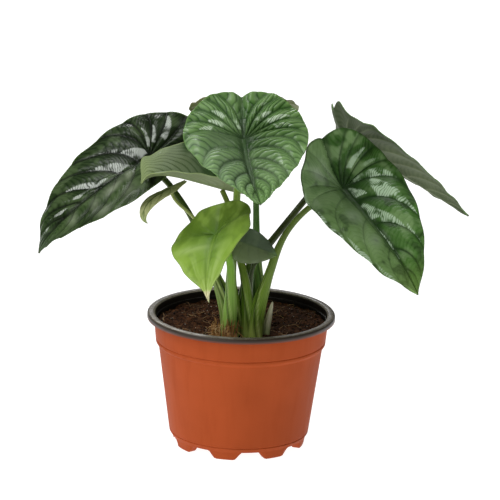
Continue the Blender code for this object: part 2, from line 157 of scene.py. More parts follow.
LEAVES = {
    "left": leaf(
        front=127, back=50, sinus=44, width=98, full=0.95, halves=(1.25, 1), tail=2,
        at=(-79, 60, 226), heading=-106, pitch=-23, roll=-16,
        droop=(60, 2.6), lobe_tilt=6, fold=(38, 22), flatten=1, curl=(34, 15), sweep=-6,
        base=(-16, -8), via=((-24, 0, 145), (-43, 22, 185), (-61, 45, 205)), stem=4.4,
            closer=(5, -6),
        veins=((-0.1, 0.12, 0.24, 0.36, 0.48, 0.58, 0.68, 0.78, 0.88, 1),
            (-0.1, 0.05, 0.13, 0.21, 0.3, 0.38, 0.46, 0.545, 0.65, 0.745, 0.83, 0.91, 1)),
        lean=0.18, shift=-15, puff=1.9, fine=0.16, ridges=11, grid=(150, 250),
        calm=(0.75, 1),
        smoke=((0.6, -0.3, 0.05, 0.12, 0.9), (0.54, -0.7, 0.03, 0.16, 0.6),
            (0.69, -0.4, 0.02, 0.2, 0.6), (0.79, -0.4, 0.02, 0.25, 0.7),
            (0.53, -0.3, 0.02, 0.14, 0.8), (0.65, -0.8, 0.03, 0.14, 0.6)),
        patches=((1, 5, 0.08, 0.48, 0.1, 1, 1), (1, 5, 0.52, 0.85, 0.84, 1, 0.7),
            (1, 6, 0.1, 0.66, 0.4, 1, 1), (1, 7, 0.1, 0.72, 0.52, 1, 0.95),
            (1, 8, 0.16, 0.55, 0.4, 0.8, 0.8), (1, 9, 0.18, 0.6, 0.4, 0.8, 0.8),
            (1, 10, 0.25, 0.85, 0.4, 0.8, 0.7), (1, 3, 0.2, 0.66, 0.1, 0.8, 0.9),
            (1, 2, 0.3, 0.7, 0.2, 0.9, 1), (1, 1, 0.45, 0.95, 0.2, 0.95, 0.9),
            (-1, 8, 0.6, 1, 0.3, 0.9, 0.6))),
    "centre": leaf(
        front=76, back=49, sinus=46, width=100, full=0.8, halves=(1.06, 1),
        at=(-1, -47, 270.6), heading=176, pitch=-22, roll=0,
        droop=(18, 1.5), lobe_tilt=-16, fold=(13, 10), curl=(15, 15), sweep=-15,
        base=(-5, -20), via=((-9, -21, 140), (-8, -25, 170), (-6, -34, 211), (-4, -44, 247)),
            stem=5.2,
        veins=((-0.1, 0.05, 0.11, 0.19, 0.28, 0.38, 0.47, 0.55, 0.64, 0.72, 0.8, 0.88, 1),
            (-0.1, 0.05, 0.12, 0.2, 0.3, 0.4, 0.545, 0.65, 0.76, 0.84, 0.91, 1)),
        lean=0.14, arch=0.04, puff=2, fine=0.66, ridges=7.5, grid=(170, 250),
        quiet=(1, 0.44, 0.38),
        smoke=((0.72, 0.5, 0.12, 0.5, 0.3), (0.74, -0.5, 0.12, 0.5, 0.3)),
        patches=((1, 2, 0.55, 0.8, 0.2, 0.9, 0.8), (1, 3, 0.4, 0.72, 0.2, 0.9, 0.9),
            (1, 1, 0.24, 0.62, 0, 0.9, 0.7), (1, 4, 0.52, 0.75, 0.3, 0.9, 0.8),
            (-1, 2, 0.45, 0.75, 0.1, 0.9, 0.9), (-1, 3, 0.45, 0.9, 0.2, 0.9, 0.8),
            (-1, 4, 0.5, 0.85, 0.3, 0.9, 0.9), (-1, 1, 0.6, 0.9, 0.2, 0.9, 0.5),
            (-1, 9, 0.75, 1, 0.3, 0.9, 0.7), (1, 10, 0.64, 1, 0, 1, 0.9),
            (1, 11, 0.55, 1, 0, 1, 0.8), (-1, 7, 0.52, 0.72, 0.4, 0.9, 0.6))),
    "side": leaf(
        front=71, back=37, sinus=32, width=84, full=0.95, bulges=((1, 0.22, 0.68, 0.08),
            (1, 0.4, 0.84, 0.08), (1, 1.3, 0.93, 0.04)),
        at=(-18, 0, 216), heading=-95, pitch=16, roll=-7,
        droop=(80, 5), lobe_tilt=-6, fold=(37, 37), curl=(5, 5),
        base=(5, -22), via=((3, -19, 140), (-4, -13, 168), (-13, -2, 204)), stem=3.8, neck=0,
        veins=(MANY_VEINS, MANY_VEINS),
        lean=0.45, puff=0.35, fine=0.06, ridges=16, grid=(104, 160),
        smoke=((0.67, 0.88, 0.04, 0.26, 1), (0.6, 0.6, 0.05, 0.28, 1),
            (0.53, 0.35, 0.06, 0.28, 1), (0.45, 0.2, 0.08, 0.4, 1))),
    "small": leaf(
        front=43, back=15, sinus=12, width=15, full=1.2, lobe=0.7,
        at=(-61, 20, 210), heading=-115, pitch=-22, roll=0,
        droop=(130, 2.5), fold=(-12, -12), curl=(0, 0), twist=-80,
        base=(-17, -19), via=((-18, -18, 120), (-23, -11, 144), (-40, 5, 188)), stem=2.8,
            closer=(4, -1),
        veins=(FEW_VEINS, FEW_VEINS),
        puff=0.3, fine=0.08, ridges=6, grid=(40, 80)),
    "young": leaf(
        front=53, back=28, sinus=29, width=84, full=0.6, halves=(1.02, 1),
            bulges=((-1, 0.26, 0.56, 0.09), (1, 0.11, 0.37, 0.06), (1, 0.13, 0.51, 0.11),
            (1, -0.25, 0.91, 0.06)), tail=6,
        at=(-22, -68, 196), heading=-159, pitch=-30, roll=22,
        droop=(60, 1), lobe_tilt=-24, lobe_flat=0.45, fold=(26, 5), curl=(15, 15), sweep=15,
        base=(-10, -30), via=((-9, -32, 139), (-10, -43, 166), (-16, -58, 186)), stem=4.2,
        veins=(FEW_VEINS, FEW_VEINS),
        puff=0.5, fine=0.05, ridges=8, grid=(84, 120),
        crease=2.2,
        smoke=((0.56, 0.45, 0.035, 0.5, 0.8), (0.6, -0.2, 0.03, 0.3, 0.5))),
    "dark": leaf(
        front=29, back=14, sinus=11, width=28, halves=(1, 1.18),
        at=(1, -42, 182), heading=102, pitch=-15, roll=58,
        droop=(20, 1.5), fold=(2, 2), curl=(20, 20),
        base=(-3, -8), via=((1, -9, 132), (4, -12, 150), (6, -27, 170)), stem=3,
        veins=(FEW_VEINS, FEW_VEINS),
        puff=0.15, fine=0.03, ridges=6, grid=(44, 72)),
    "back": leaf(
        front=90, back=42, sinus=38, width=92,
        at=(-2, 55, 268), heading=5, pitch=-22, roll=-4,
        droop=(20, 1.5), lobe_tilt=-10, fold=(8, 8), curl=(5, 5),
        base=(14, 0), via=((13, 4, 138), (11, 14, 172), (10, 26, 201), (6, 42, 241)), stem=4.4,
        veins=(EVEN_VEINS, EVEN_VEINS),
        lean=0.11, arch=0.03, puff=1.8, fine=0.4, ridges=10, grid=(112, 170)),
    "right": leaf(
        front=107, back=48, sinus=45, width=102, halves=(1, 1.05),
            bulges=((1, 0.15, 0.84, 0.09),),
        at=(81, -22, 224), heading=125, pitch=-38, roll=13,
        droop=(26, 2), lobe_tilt=-38, fold=(18, 18), curl=(8, 8),
        base=(15, -22), via=((19, -22, 135), (24, -22, 157), (38, -22, 190), (60, -22, 212)),
            stem=4.6, closer=(-4, -1),
        veins=((-0.1, 0.04, 0.1, 0.2, 0.3, 0.4, 0.5, 0.64, 0.78, 0.88, 1),
            (-0.1, 0.05, 0.14, 0.24, 0.34, 0.45, 0.6, 0.77, 0.88, 1)),
        lean=0.17, puff=1.6, fine=0.16, ridges=12, grid=(150, 250),
        calm=(1, 0.65),
        smoke=((0.19, 0.62, 0.05, 0.22, 0.9), (0.565, 0.35, 0.04, 0.17, 1),
            (0.7, 0.33, 0.03, 0.15, 0.9), (0.09, 0.45, 0.04, 0.3, 0.5)),
        patches=((-1, 5, 0.36, 0.98, 0, 1, 1), (-1, 4, 0.18, 0.94, 0, 1, 0.9),
            (-1, 5, 0.05, 0.26, 0.1, 0.8, 1), (-1, 6, 0.02, 0.34, 0.1, 0.8, 0.9),
            (-1, 6, 0.16, 0.6, 0.5, 1, 0.9), (-1, 6, 0.6, 0.92, 0.78, 1, 0.9),
            (-1, 2, 0.4, 0.9, 0.1, 0.7, 1), (-1, 7, 0, 0.07, 0, 1, 1),
            (-1, 3, 0.5, 0.9, 0.3, 0.8, 0.5), (1, 6, 0.86, 1.1, 0.1, 0.7, 0.6),
            (-1, 8, 0, 0.05, 0, 0.5, 0.9), (1, 5, 0.88, 1.1, 0.1, 0.9, 0.9),
            (1, 3, 0.94, 1.1, 0.1, 0.9, 0.7), (1, 4, 0.93, 1.1, 0.1, 0.9, 0.9))),
    "far": leaf(
        front=118, back=36, sinus=30, width=86, full=0.6, lobe=0.55,
        at=(87, 28, 251), heading=85, pitch=-32, roll=-24,
        droop=(0, 1), lobe_tilt=-45, fold=(18, 18), curl=(8, 8),
        base=(5, -4), via=((4, -4, 135), (7, -3, 151), (21, 0, 169), (52, 12, 207)), stem=3.9,
        veins=(EVEN_VEINS, EVEN_VEINS),
        lean=0.12, puff=1.3, fine=0.12, ridges=10, grid=(104, 170)),
}


# Modelling helpers

def deselect_all():
    for obj in bpy.data.objects:
        obj.select_set(False)


def make_active(obj):
    deselect_all()
    obj.select_set(True)
    bpy.context.view_layer.objects.active = obj


def add_object(name, data):
    obj = bpy.data.objects.new(name, data)
    bpy.context.scene.collection.objects.link(obj)
    return obj


def grown_sheet(name, columns, rows, place, outward=True):
    """A grid put where place(across, along) says, both from 0 to 1, in mm.

    place returns the points and a dictionary of marks, the points' attributes. Points
    that meet are merged, and outward turns the faces of a closed sheet outwards.
    """
    deselect_all()
    bpy.ops.mesh.primitive_grid_add(x_subdivisions=columns, y_subdivisions=rows, size=1)
    sheet = bpy.context.active_object
    sheet.name = sheet.data.name = name
    flat = np.empty(3 * len(sheet.data.vertices), np.float32)
    sheet.data.vertices.foreach_get("co", flat)
    across, along = flat.reshape(-1, 3)[:, 0] + 0.5, flat.reshape(-1, 3)[:, 1] + 0.5
    points, marks = place(across.astype(float), along.astype(float))
    sheet.data.vertices.foreach_set("co", (points * MM).astype(np.float32).ravel())
    for mark, values in marks.items():
        layer = sheet.data.attributes.new(mark, "FLOAT", "POINT")
        layer.data.foreach_set("value", np.asarray(values, np.float32))
    sheet.data.update()
    make_active(sheet)
    bpy.ops.object.mode_set(mode="EDIT")
    bpy.ops.mesh.select_all(action="SELECT")
    bpy.ops.mesh.remove_doubles(threshold=MERGE_DISTANCE * MM)
    if outward:
        bpy.ops.mesh.normals_make_consistent(inside=False)
    bpy.ops.object.mode_set(mode="OBJECT")
    return sheet


def paint(obj, *materials):
    for material in materials:
        obj.data.materials.append(material)


def thicken(obj, thickness, offset, back_slot=0):
    solid = obj.modifiers.new("thickness", "SOLIDIFY")
    solid.thickness = thickness * MM
    solid.offset = offset
    solid.material_offset = back_slot
    make_active(obj)
    bpy.ops.object.modifier_apply(modifier=solid.name)


def finish_piece(obj, slot, *nodes):
    obj.data.shade_smooth()
    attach(obj, ROOT)
    if nodes:
        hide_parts(*nodes)


# Curves

def smooth_route(points, spans):
    """A smooth curve through points, with spans samples between two."""
    p = np.array(points, float)
    step = np.diff(p, axis=0)
    length = np.linalg.norm(step, axis=1)[:, None]
    heading = step / length
    between = (length[1:] * heading[:-1] + length[:-1] * heading[1:]) / (length[1:] + length[:-1])
    slope = np.vstack([heading[:1], between, heading[-1:]])
    route = []
    for i in range(len(step)):
        for t in np.arange(spans) / spans:
            eased = t * t * (3 - 2 * t)
            bow = length[i] * t * (1 - t) * ((1 - t) * slope[i] - t * slope[i + 1])
            route.append(p[i] + step[i] * eased + bow)
    route.append(p[-1])
    return np.array(route)


def ease(x, low, high):
    """0 up to low and 1 from high on, smoothly in between."""
    t = np.clip((x - low) / (high - low), 0, 1)
    return t * t * (3 - 2 * t)


def bell(x, middle, spread):
    """1 at the middle, falling smoothly to nothing at some spreads from it."""
    return np.exp(-((x - middle) / spread) ** 2)


# Shader helpers

class Shader:
    """A material's node tree, with a method for each kind of node that is used."""

    def __init__(self, name):
        self.material = bpy.data.materials.new(name)
        self.material.use_nodes = True
        self.tree = self.material.node_tree
        self.principled = self.tree.nodes["Principled BSDF"]

    def link(self, source, socket):
        """Feed a socket from a number, a colour of three levels, or a node's output."""
        if isinstance(source, (int, float)):
            socket.default_value = source
        elif isinstance(source, tuple):
            socket.default_value = (*map(linear, source), 1.0)
        else:
            self.tree.links.new(source, socket)

    def node(self, kind, *sources):
        node = self.tree.nodes.new("ShaderNode" + kind)
        for source, socket in zip(sources, node.inputs):
            self.link(source, socket)
        return node

    def mark(self, name):
        node = self.node("Attribute")
        node.attribute_name = name
        return node.outputs["Fac"]

    def noise_at(self, vector, scale, detail, roughness=0.55):
        node = self.node("TexNoise", vector)
        for key, number in (("Scale", scale), ("Detail", detail), ("Roughness", roughness)):
            node.inputs[key].default_value = number
        return node.outputs["Fac"]

    def noise(self, scale, detail, stretch=(1, 1, 1), space="Object", roughness=0.55):
        mapping = self.node("Mapping", self.node("TexCoord").outputs[space])
        mapping.inputs["Scale"].default_value = stretch
        return self.noise_at(mapping.outputs[0], scale, detail, roughness)

    def ramp(self, value, low, high, out_low=0.0, out_high=1.0):
        node = self.node("MapRange", value, low, high, out_low, out_high)
        node.interpolation_type = "SMOOTHSTEP"
        return node.outputs["Result"]

    def math(self, operation, a, b=0.0):
        node = self.node("Math", a, b)
        node.operation = operation
        return node.outputs["Value"]

    def times(self, a, b):
        return self.math("MULTIPLY", a, b)

    def plus(self, a, b):
        return self.math("ADD", a, b)

    def mix(self, strength, a, b):
        node = self.node("Mix", strength)
        node.data_type = "RGBA"
        self.link(a, node.inputs[6])
        self.link(b, node.inputs[7])
        return node.outputs[2]

    def layers(self, color, *coats):
        """A colour with coats over it, each a strength and a colour."""
        for strength, coat in coats:
            color = self.mix(strength, color, coat)
        return color

    def bump(self, height, strength, distance):
        node = self.node("Bump")
        node.inputs["Strength"].default_value = strength
        node.inputs["Distance"].default_value = distance
        self.link(height, node.inputs["Height"])
        self.link(node.outputs["Normal"], self.principled.inputs["Normal"])

    def finish(self, color, roughness, **sockets):
        self.link(color, self.principled.inputs["Base Color"])
        self.link(roughness, self.principled.inputs["Roughness"])
        for key, number in sockets.items():
            self.principled.inputs[key.replace("_", " ")].default_value = number
        return self.material


def linear(level):
    """A colour's level from 0 to 255, as it looks, in the shader's linear numbers."""
    return ((level / 255 + 0.055) / 1.055) ** 2.4 if level > 10 else level / 3294.6


# Leaf materials

def ridge_lines(s, times=1.0, stray=0.0):
    """Rounded ridges with sharp grooves, along the marks of a blade."""
    phase = s.plus(s.times(s.mark("phase"), times), s.times(s.noise(95.0, 2.0), stray))
    side = s.math("SUBTRACT", s.times(s.math("FRACT", phase), 2.0), 1.0)
    return s.math("SUBTRACT", 1.0, s.math("POWER", s.math("ABSOLUTE", side), 1.8))


def blade_top(name, look):
    s = Shader(name + "_top")
    half, along, crest = s.mark("half"), s.mark("along"), s.mark("crest")
    soft, cloud, broken, grain = (s.noise(*kind) for kind in (
        (28.0, 4.0), (55.0, 2.0), (110.0, 2.0), (900.0, 2.0)))
    ridge, fine_ridge = ridge_lines(s), ridge_lines(s, 2.2, 3.2)
    edge = s.math("ABSOLUTE", half)
    on_right = s.ramp(half, -0.05, 0.05)
    # Painted shade in the low ground between the quilted fields, darker than the crests.
    low = s.ramp(s.plus(crest, s.times(soft, 0.5)), 0.30, look.valley_reach,
                 look.valley_mix, 0.0)
    # Painted highlight on the crests of the fields and on the fine ridges.
    crest_highlight = s.times(ridge, s.plus(s.times(crest, 0.8), 0.1))
    # Painted shade round the leaf's middle, broken by soft blotches.
    deep = s.times(s.mark("deep"), s.ramp(soft, 0.3, 0.7, 1.25, 0.75))
    # Painted light in soft streaks: painted sheen, and on the side leaf painted shadow.
    smoke = s.times(s.mark("smoke"), s.ramp(soft, 0.35, 0.60, 0.5, 1.2))
    # Painted glints, broken up along the fine ridges and in blotches.
    glint_mask = s.times(s.plus(s.times(fine_ridge, 0.75), 0.25), s.ramp(broken, 0.33, 0.60, 0.3, 1.15))
    silver = s.ramp(s.times(s.mark("silver"), glint_mask), 0.15, 0.9)
    color = s.layers(
        # The rear and front part, a colour for each half: the leaf's own green, with a painted grey
        # veil of reflection where a half or the front part is lighter, and on the young leaf the
        # painted glow of light through its front part.
        s.mix(on_right, *look.body),
        (s.ramp(along, 0.38, 0.60, 0.0, look.ahead_mix), s.mix(on_right, *look.ahead)),
        (s.ramp(cloud, 0.49, 0.62, 0.0, look.cloud_mix), look.ridge),
        (s.ramp(cloud, 0.36, 0.47, look.cloud_mix, 0.0), look.valley),
        # Painted shade in the low ground between the fields.
        (s.times(low, s.ramp(edge, 0.25, 0.8, 1.0, look.valley_out)), look.valley),
        # The painted highlight on the crests and fine ridges.
        (s.times(crest_highlight, look.ridge_mix), look.ridge),
        # Painted shade in the grooves between the fine ridges.
        (s.times(s.ramp(ridge, 0.0, 0.45, 1.0, 0.0), look.groove_mix), look.valley),
        # The painted shade round the middle.
        (s.times(deep, look.deep_mix), look.deep),
        # A painted grey veil of reflection where the relief is calm.
        (s.ramp(s.mark("calm"), 0.3, 0.8, look.calm_mix, 0.0), look.calm),
        # The streaks of painted sheen, painted shadow on the side leaf.
        (s.times(smoke, look.smoke_mix), look.smoke),
        (s.ramp(along, 0.80, 1.0, 0.0, look.tip_mix), look.tip))
    if look.pleat_mix:
        # Painted sheen in streaks along the young leaf's pleats, and its pale tail.
        place = s.node("CombineXYZ", s.times(half, 4.5), s.times(along, 2.5))
        pleats = s.ramp(s.noise_at(place.outputs[0], 1.0, 3.0), 0.42, 0.66, 0.0, look.pleat_mix)
        color = s.layers(color, (s.times(pleats, s.ramp(along, 0.55, 0.75)), look.pleat),
                         (s.ramp(along, 0.945, 0.975), look.tail))
    color = s.layers(
        color,
        (s.times(s.mark("vein"), look.vein_mix), look.vein),
        # Painted shade in the young leaf's crease.
        (s.times(s.mark("crease"), 0.75), look.valley),
        (s.ramp(edge, 0.965, 0.995, 0.0, look.margin_mix), look.margin),
        (s.ramp(s.mark("rib"), 0.3, 0.9, 0.0, look.rib_mix), look.rib),
        # Painted glints: patches of painted reflection.
        (s.times(silver, look.silver_mix), look.silver))
    s.bump(s.plus(s.times(ridge, look.ridge_bump), grain), 0.3, 0.0004)
    rough = s.ramp(soft, 0.3, 0.75, look.roughness, look.roughness + 0.12)
    return s.finish(color, rough, Specular_IOR_Level=look.specular)


def blade_under(name, look):
    s = Shader(name + "_under")
    color = s.layers(
        look.under,
        (s.ramp(s.noise(22.0, 4.0), 0.35, 0.7), look.under_pale),
        (s.times(ridge_lines(s), 0.2), look.under_vein),
        (s.times(s.mark("vein"), 0.7), look.under_vein),
        (s.ramp(s.mark("rib"), 0.2, 0.8, 0.0, 0.9), look.under_vein))
    s.bump(s.noise(900.0, 2.0), 0.2, 0.0002)
    return s.finish(color, 0.6, Specular_IOR_Level=0.3)


def look(**changes):
    """A leaf's colours and gloss: those of a grown green leaf, with changes.

    A word with _mix says how strongly a colour shows. body and ahead are the rear and
    the front part, with a colour for each half: the leaf's own green, with a painted grey
    veil of reflection where a half or the front part is lighter, and on the young leaf
    the painted glow of light through its front part. valley is painted shade in the low
    ground, with its reach up the fields and its share at the margin. ridge is a painted
    highlight on the crests and the fine ridges, and groove painted shade between them.
    cloud mixes valley and ridge in blotches of tone, deep is painted shade round the
    middle, calm a painted grey veil where there is little relief, the streaks are painted
    sheen, and painted shadow on the side leaf, and the patches are painted glints. pleat
    is painted sheen on the young leaf's tip, and tail its pale end.
    """
    base = dict(
        body=((40, 84, 18), (54, 92, 38)), ahead=((102, 140, 80), (100, 130, 88)),
        ahead_mix=0.9, valley=(14, 42, 7), valley_mix=0.8, valley_reach=0.95, valley_out=0.35,
        cloud_mix=0.35, ridge=(134, 172, 100), ridge_mix=0.55, groove_mix=0.4,
        vein=(14, 42, 8), vein_mix=0.28, margin=(104, 144, 70), margin_mix=0.6,
        rib=(62, 92, 46), rib_mix=0.6, tip=(112, 152, 78), tip_mix=0.4,
        silver=(214, 232, 206), silver_mix=0.8, ridge_bump=1.0, roughness=0.24,
        deep=(18, 50, 7), deep_mix=0.0, calm=(96, 116, 84), calm_mix=0.0,
        smoke=(140, 158, 128), smoke_mix=0.65,
        pleat_mix=0.0, specular=0.22, under=(66, 80, 48), under_pale=(82, 96, 62),
        under_vein=(112, 122, 80))
    return SimpleNamespace(**{**base, **changes})


LOOKS = {
    "left": look(
        body=((20, 34, 13), (20, 34, 13)), ahead_mix=1.0, ahead=((42, 62, 28), (22, 40, 12)),
        valley=(7, 14, 4), valley_out=1.0, ridge=(92, 112, 72), ridge_mix=0.22, groove_mix=0.2,
        cloud_mix=0.4, vein=(8, 14, 5), vein_mix=0.4, margin=(78, 104, 40), margin_mix=0.5,
        rib=(20, 32, 12), tip_mix=0.2, tip=(70, 100, 50), silver=(222, 228, 220), silver_mix=0.66,
        ridge_bump=0.4, roughness=0.18, specular=0.11, calm=(96, 112, 78), calm_mix=0.25,
        smoke=(150, 160, 134), smoke_mix=0.8),
    "centre": look(
        deep_mix=0.72, calm_mix=0.5, valley_mix=0.7, vein_mix=0.15, ridge=(150, 188, 116),
        ridge_mix=0.5, cloud_mix=0.2),
    # The side leaf's streaks and dark middle are painted shadow, where the middle leaf shades it.
    "side": look(
        body=((124, 138, 110), (124, 138, 110)), ahead_mix=0.0, smoke=(34, 66, 16), smoke_mix=0.95,
        valley=(70, 90, 46), ridge=(142, 158, 112), vein=(56, 76, 38), vein_mix=0.36,
        margin=(156, 176, 104), margin_mix=0.5, tip=(140, 158, 80), ridge_bump=0.6, roughness=0.5,
        specular=0.15, deep=(52, 80, 34), deep_mix=0.8, under=(106, 124, 78),
        under_pale=(128, 144, 98)),
    "small": look(
        body=((190, 196, 138), (190, 196, 138)), ahead_mix=0.0, valley=(140, 150, 90),
        groove_mix=0.1, ridge=(180, 190, 134), ridge_mix=0.3, vein=(90, 102, 50), vein_mix=0.4,
        margin=(156, 166, 112), roughness=0.5, specular=0.15, under=(206, 210, 166),
        under_pale=(188, 196, 136)),
    "young": look(
        body=((80, 106, 22), (84, 112, 26)), ahead=((132, 166, 58), (140, 174, 64)),
        valley=(66, 94, 16), valley_mix=0.1, cloud_mix=0.3, groove_mix=0.0, ridge=(150, 180, 80),
        ridge_mix=0.0, vein=(86, 116, 28), vein_mix=0.15, margin=(104, 128, 52),
        rib=(150, 176, 84), rib_mix=0.2, tip=(176, 196, 104), tip_mix=0.5, smoke=(176, 198, 126),
        smoke_mix=0.5, pleat=(178, 204, 124), pleat_mix=0.38, tail=(214, 210, 164),
        deep=(72, 112, 26), deep_mix=0.55, ridge_bump=0.0, roughness=0.40, specular=0.2,
        under=(122, 148, 62), under_pale=(136, 160, 76)),
    "dark": look(
        body=((86, 102, 80), (106, 122, 82)), ahead_mix=0.0, groove_mix=0.0, valley=(58, 72, 50),
        valley_mix=0.15, ridge=(116, 130, 104), ridge_mix=0.0, vein_mix=0.0,
        margin=(60, 70, 48), rib_mix=0.2, roughness=0.30, ridge_bump=0.1, specular=0.3,
        under=(66, 78, 44), under_pale=(78, 90, 54)),
    "back": look(
        body=((66, 92, 40), (66, 92, 40)), margin=(128, 122, 84), margin_mix=0.8,
        under=(112, 124, 74), under_pale=(136, 138, 94)),
    "right": look(
        body=((54, 94, 32), (114, 148, 90)), ahead_mix=1.0, ahead=((78, 122, 52), (118, 154, 88)),
        valley=(20, 46, 10), valley_reach=0.9, valley_out=0.7, ridge=(140, 172, 114),
        ridge_mix=0.16, groove_mix=0.16, cloud_mix=0.65, vein=(18, 40, 12), vein_mix=0.25,
        margin=(60, 84, 44), rib=(44, 70, 32), rib_mix=0.5, tip=(120, 152, 72), tip_mix=0.6,
        silver=(196, 222, 188), deep=(24, 54, 13), deep_mix=0.62, calm=(104, 124, 88),
        calm_mix=0.2, silver_mix=0.85, ridge_bump=0.3, roughness=0.20, specular=0.18,
        smoke=(150, 168, 140), smoke_mix=0.75),
    "far": look(
        body=((66, 98, 42), (66, 98, 42)), under=(62, 76, 48), under_pale=(88, 102, 70),
        under_vein=(122, 132, 100)),
}


# Leaf blades

def half_outline(leaf):
    """The flat right half from the notch between the lobes to the tip."""
    front, back, sinus, half = leaf.front, leaf.back, leaf.sinus, leaf.width / 2
    full, lobe = leaf.full, leaf.lobe
    return smooth_route([
        (0, -sinus), (0.09 * half, -sinus - 0.7 * (back - sinus)), (0.33 * half * lobe, -back),
        (0.76 * half * lobe, -0.68 * back), (0.985 * half, -0.10 * back + 0.025 * front),
        ((0.85 + 0.135 * full) * half, 0.15 * front), ((0.58 + 0.26 * full) * half, 0.42 * front),
        ((0.28 + 0.22 * full) * half, 0.72 * front),
        ((0.085 + 0.085 * full) * half, 0.915 * front), (0, front)], 24)


def flat_blade(leaf, u, v):
    """Flat place of the blade's point u along the margin, v out from the midrib."""
    outline = half_outline(leaf)
    steps = np.linalg.norm(np.diff(outline, axis=0), axis=1)
    run = np.concatenate([[0], np.cumsum(steps)]) / steps.sum()
    edge_x, edge_y = np.interp(u, run, outline[:, 0]), np.interp(u, run, outline[:, 1])
    start = leaf.front * np.clip((u - FIRST_SIDE_VEIN) / (1 - FIRST_SIDE_VEIN), 0, 1) ** 1.1
    bend_x, bend_y = 0.55 * edge_x, start + 0.30 * (edge_y - start)
    out = np.abs(v)
    x = 2 * (1 - out) * out * bend_x + out ** 2 * edge_x
    y = (1 - out) ** 2 * start + 2 * (1 - out) * out * bend_y + out ** 2 * edge_y
    aside = leaf.shift * np.sin(np.pi * np.clip(y / leaf.front, 0, 1)) * (1 - out ** 2)
    wider = np.where(v < 0, *leaf.halves)
    for half, more, place_u, spread in leaf.bulges:
        wider = wider + more * bell(u, place_u, spread) * (v * half > 0)
    y = y + leaf.tail * np.clip((u - TAIL_START) / (1 - TAIL_START), 0, 1) ** 2
    return np.sign(v) * x * wider + aside, y


def arc(length, turn, power, full_at=1.0):
    """Run and drop along a line that turns down by turn over its length."""
    s = np.linspace(0, 1.25 * length, 500)
    angle = turn * np.clip(s / (length * full_at), 0, 1) ** power
    step = s[1]
    run = np.concatenate([[0], np.cumsum(np.cos(angle[:-1]) * step)])
    drop = np.concatenate([[0], np.cumsum(np.sin(angle[:-1]) * step)])
    return s, angle, run, drop


def bend_blade(leaf, x, y, lift):
    """Flat points, raised by lift, to the arched and folded leaf."""
    half = leaf.width / 2
    droop, power = leaf.droop
    s, angle, run, drop = arc(leaf.front, math.radians(droop), power)
    s2, angle2, run2, drop2 = arc(leaf.back, math.radians(leaf.lobe_tilt), 0.7, 0.6)
    ahead = y >= 0
    place_y = np.where(ahead, np.interp(y, s, run), -np.interp(-y, s2, run2))
    place_z = -np.where(ahead, np.interp(y, s, drop), np.interp(-y, s2, drop2))
    slope = np.where(ahead, -np.interp(y, s, angle), np.interp(-y, s2, angle2))
    to_tip = np.clip(y / leaf.front, 0, 1)
    fold = np.radians(np.where(x < 0, leaf.fold[0], leaf.fold[1]))
    fold = fold * (1 - leaf.flatten * to_tip)
    fold = fold * (1 - leaf.lobe_flat * ease(-y / leaf.back, 0.0, 0.9))
    turn = np.radians(np.where(x < 0, leaf.curl[0], leaf.curl[1])) / half + 1e-6
    end = fold - turn * np.abs(x)
    side = np.sign(x) * (np.sin(fold) - np.sin(end)) / turn - np.sign(x) * np.sin(end) * lift
    rise = (np.cos(end) - np.cos(fold)) / turn + np.cos(end) * lift
    twist = math.radians(leaf.twist) * to_tip ** 2
    side, rise = (side * np.cos(twist) + rise * np.sin(twist),
                  rise * np.cos(twist) - side * np.sin(twist))
    if leaf.sweep:
        total = math.radians(leaf.sweep)
        side = side + leaf.front / total * (1 - np.cos(total * to_tip))
    return np.stack([side, place_y - rise * np.sin(slope), place_z + rise * np.cos(slope)], -1)


def spin(i, j, degrees):
    """Rotation that turns axis j towards axis i."""
    matrix = np.eye(3)
    matrix[i, i] = matrix[j, j] = math.cos(math.radians(degrees))
    matrix[i, j] = math.sin(math.radians(degrees))
    matrix[j, i] = -matrix[i, j]
    return matrix


def turned(leaf):
    """Rotation from leaf space: y ahead along the midrib, z up."""
    return spin(0, 1, leaf.heading) @ spin(2, 1, leaf.pitch) @ spin(0, 2, leaf.roll)


def glints_in_fields(leaf, index, t, out, v):
    """Patches of painted glint, from t = 0 at a field's rear vein to 1 at its front one."""
    silver = np.zeros_like(v)
    for half, field, first, last, rear, front, strength in leaf.patches:
        reach = np.clip((out - first) / (last - first), 0, 1)
        inner = front - (front - rear) * (1 - reach ** 1.5)
        patch = ease(t, inner - 0.10, inner + 0.10) * (1 - ease(t, front - 0.02, front + 0.05))
        patch = patch * ease(out, first - 0.03, first + 0.04) * ease(last - out, -0.02, 0.05)
        silver = np.maximum(silver, strength * patch * ((index == field) & (v * half > 0)))
    return silver


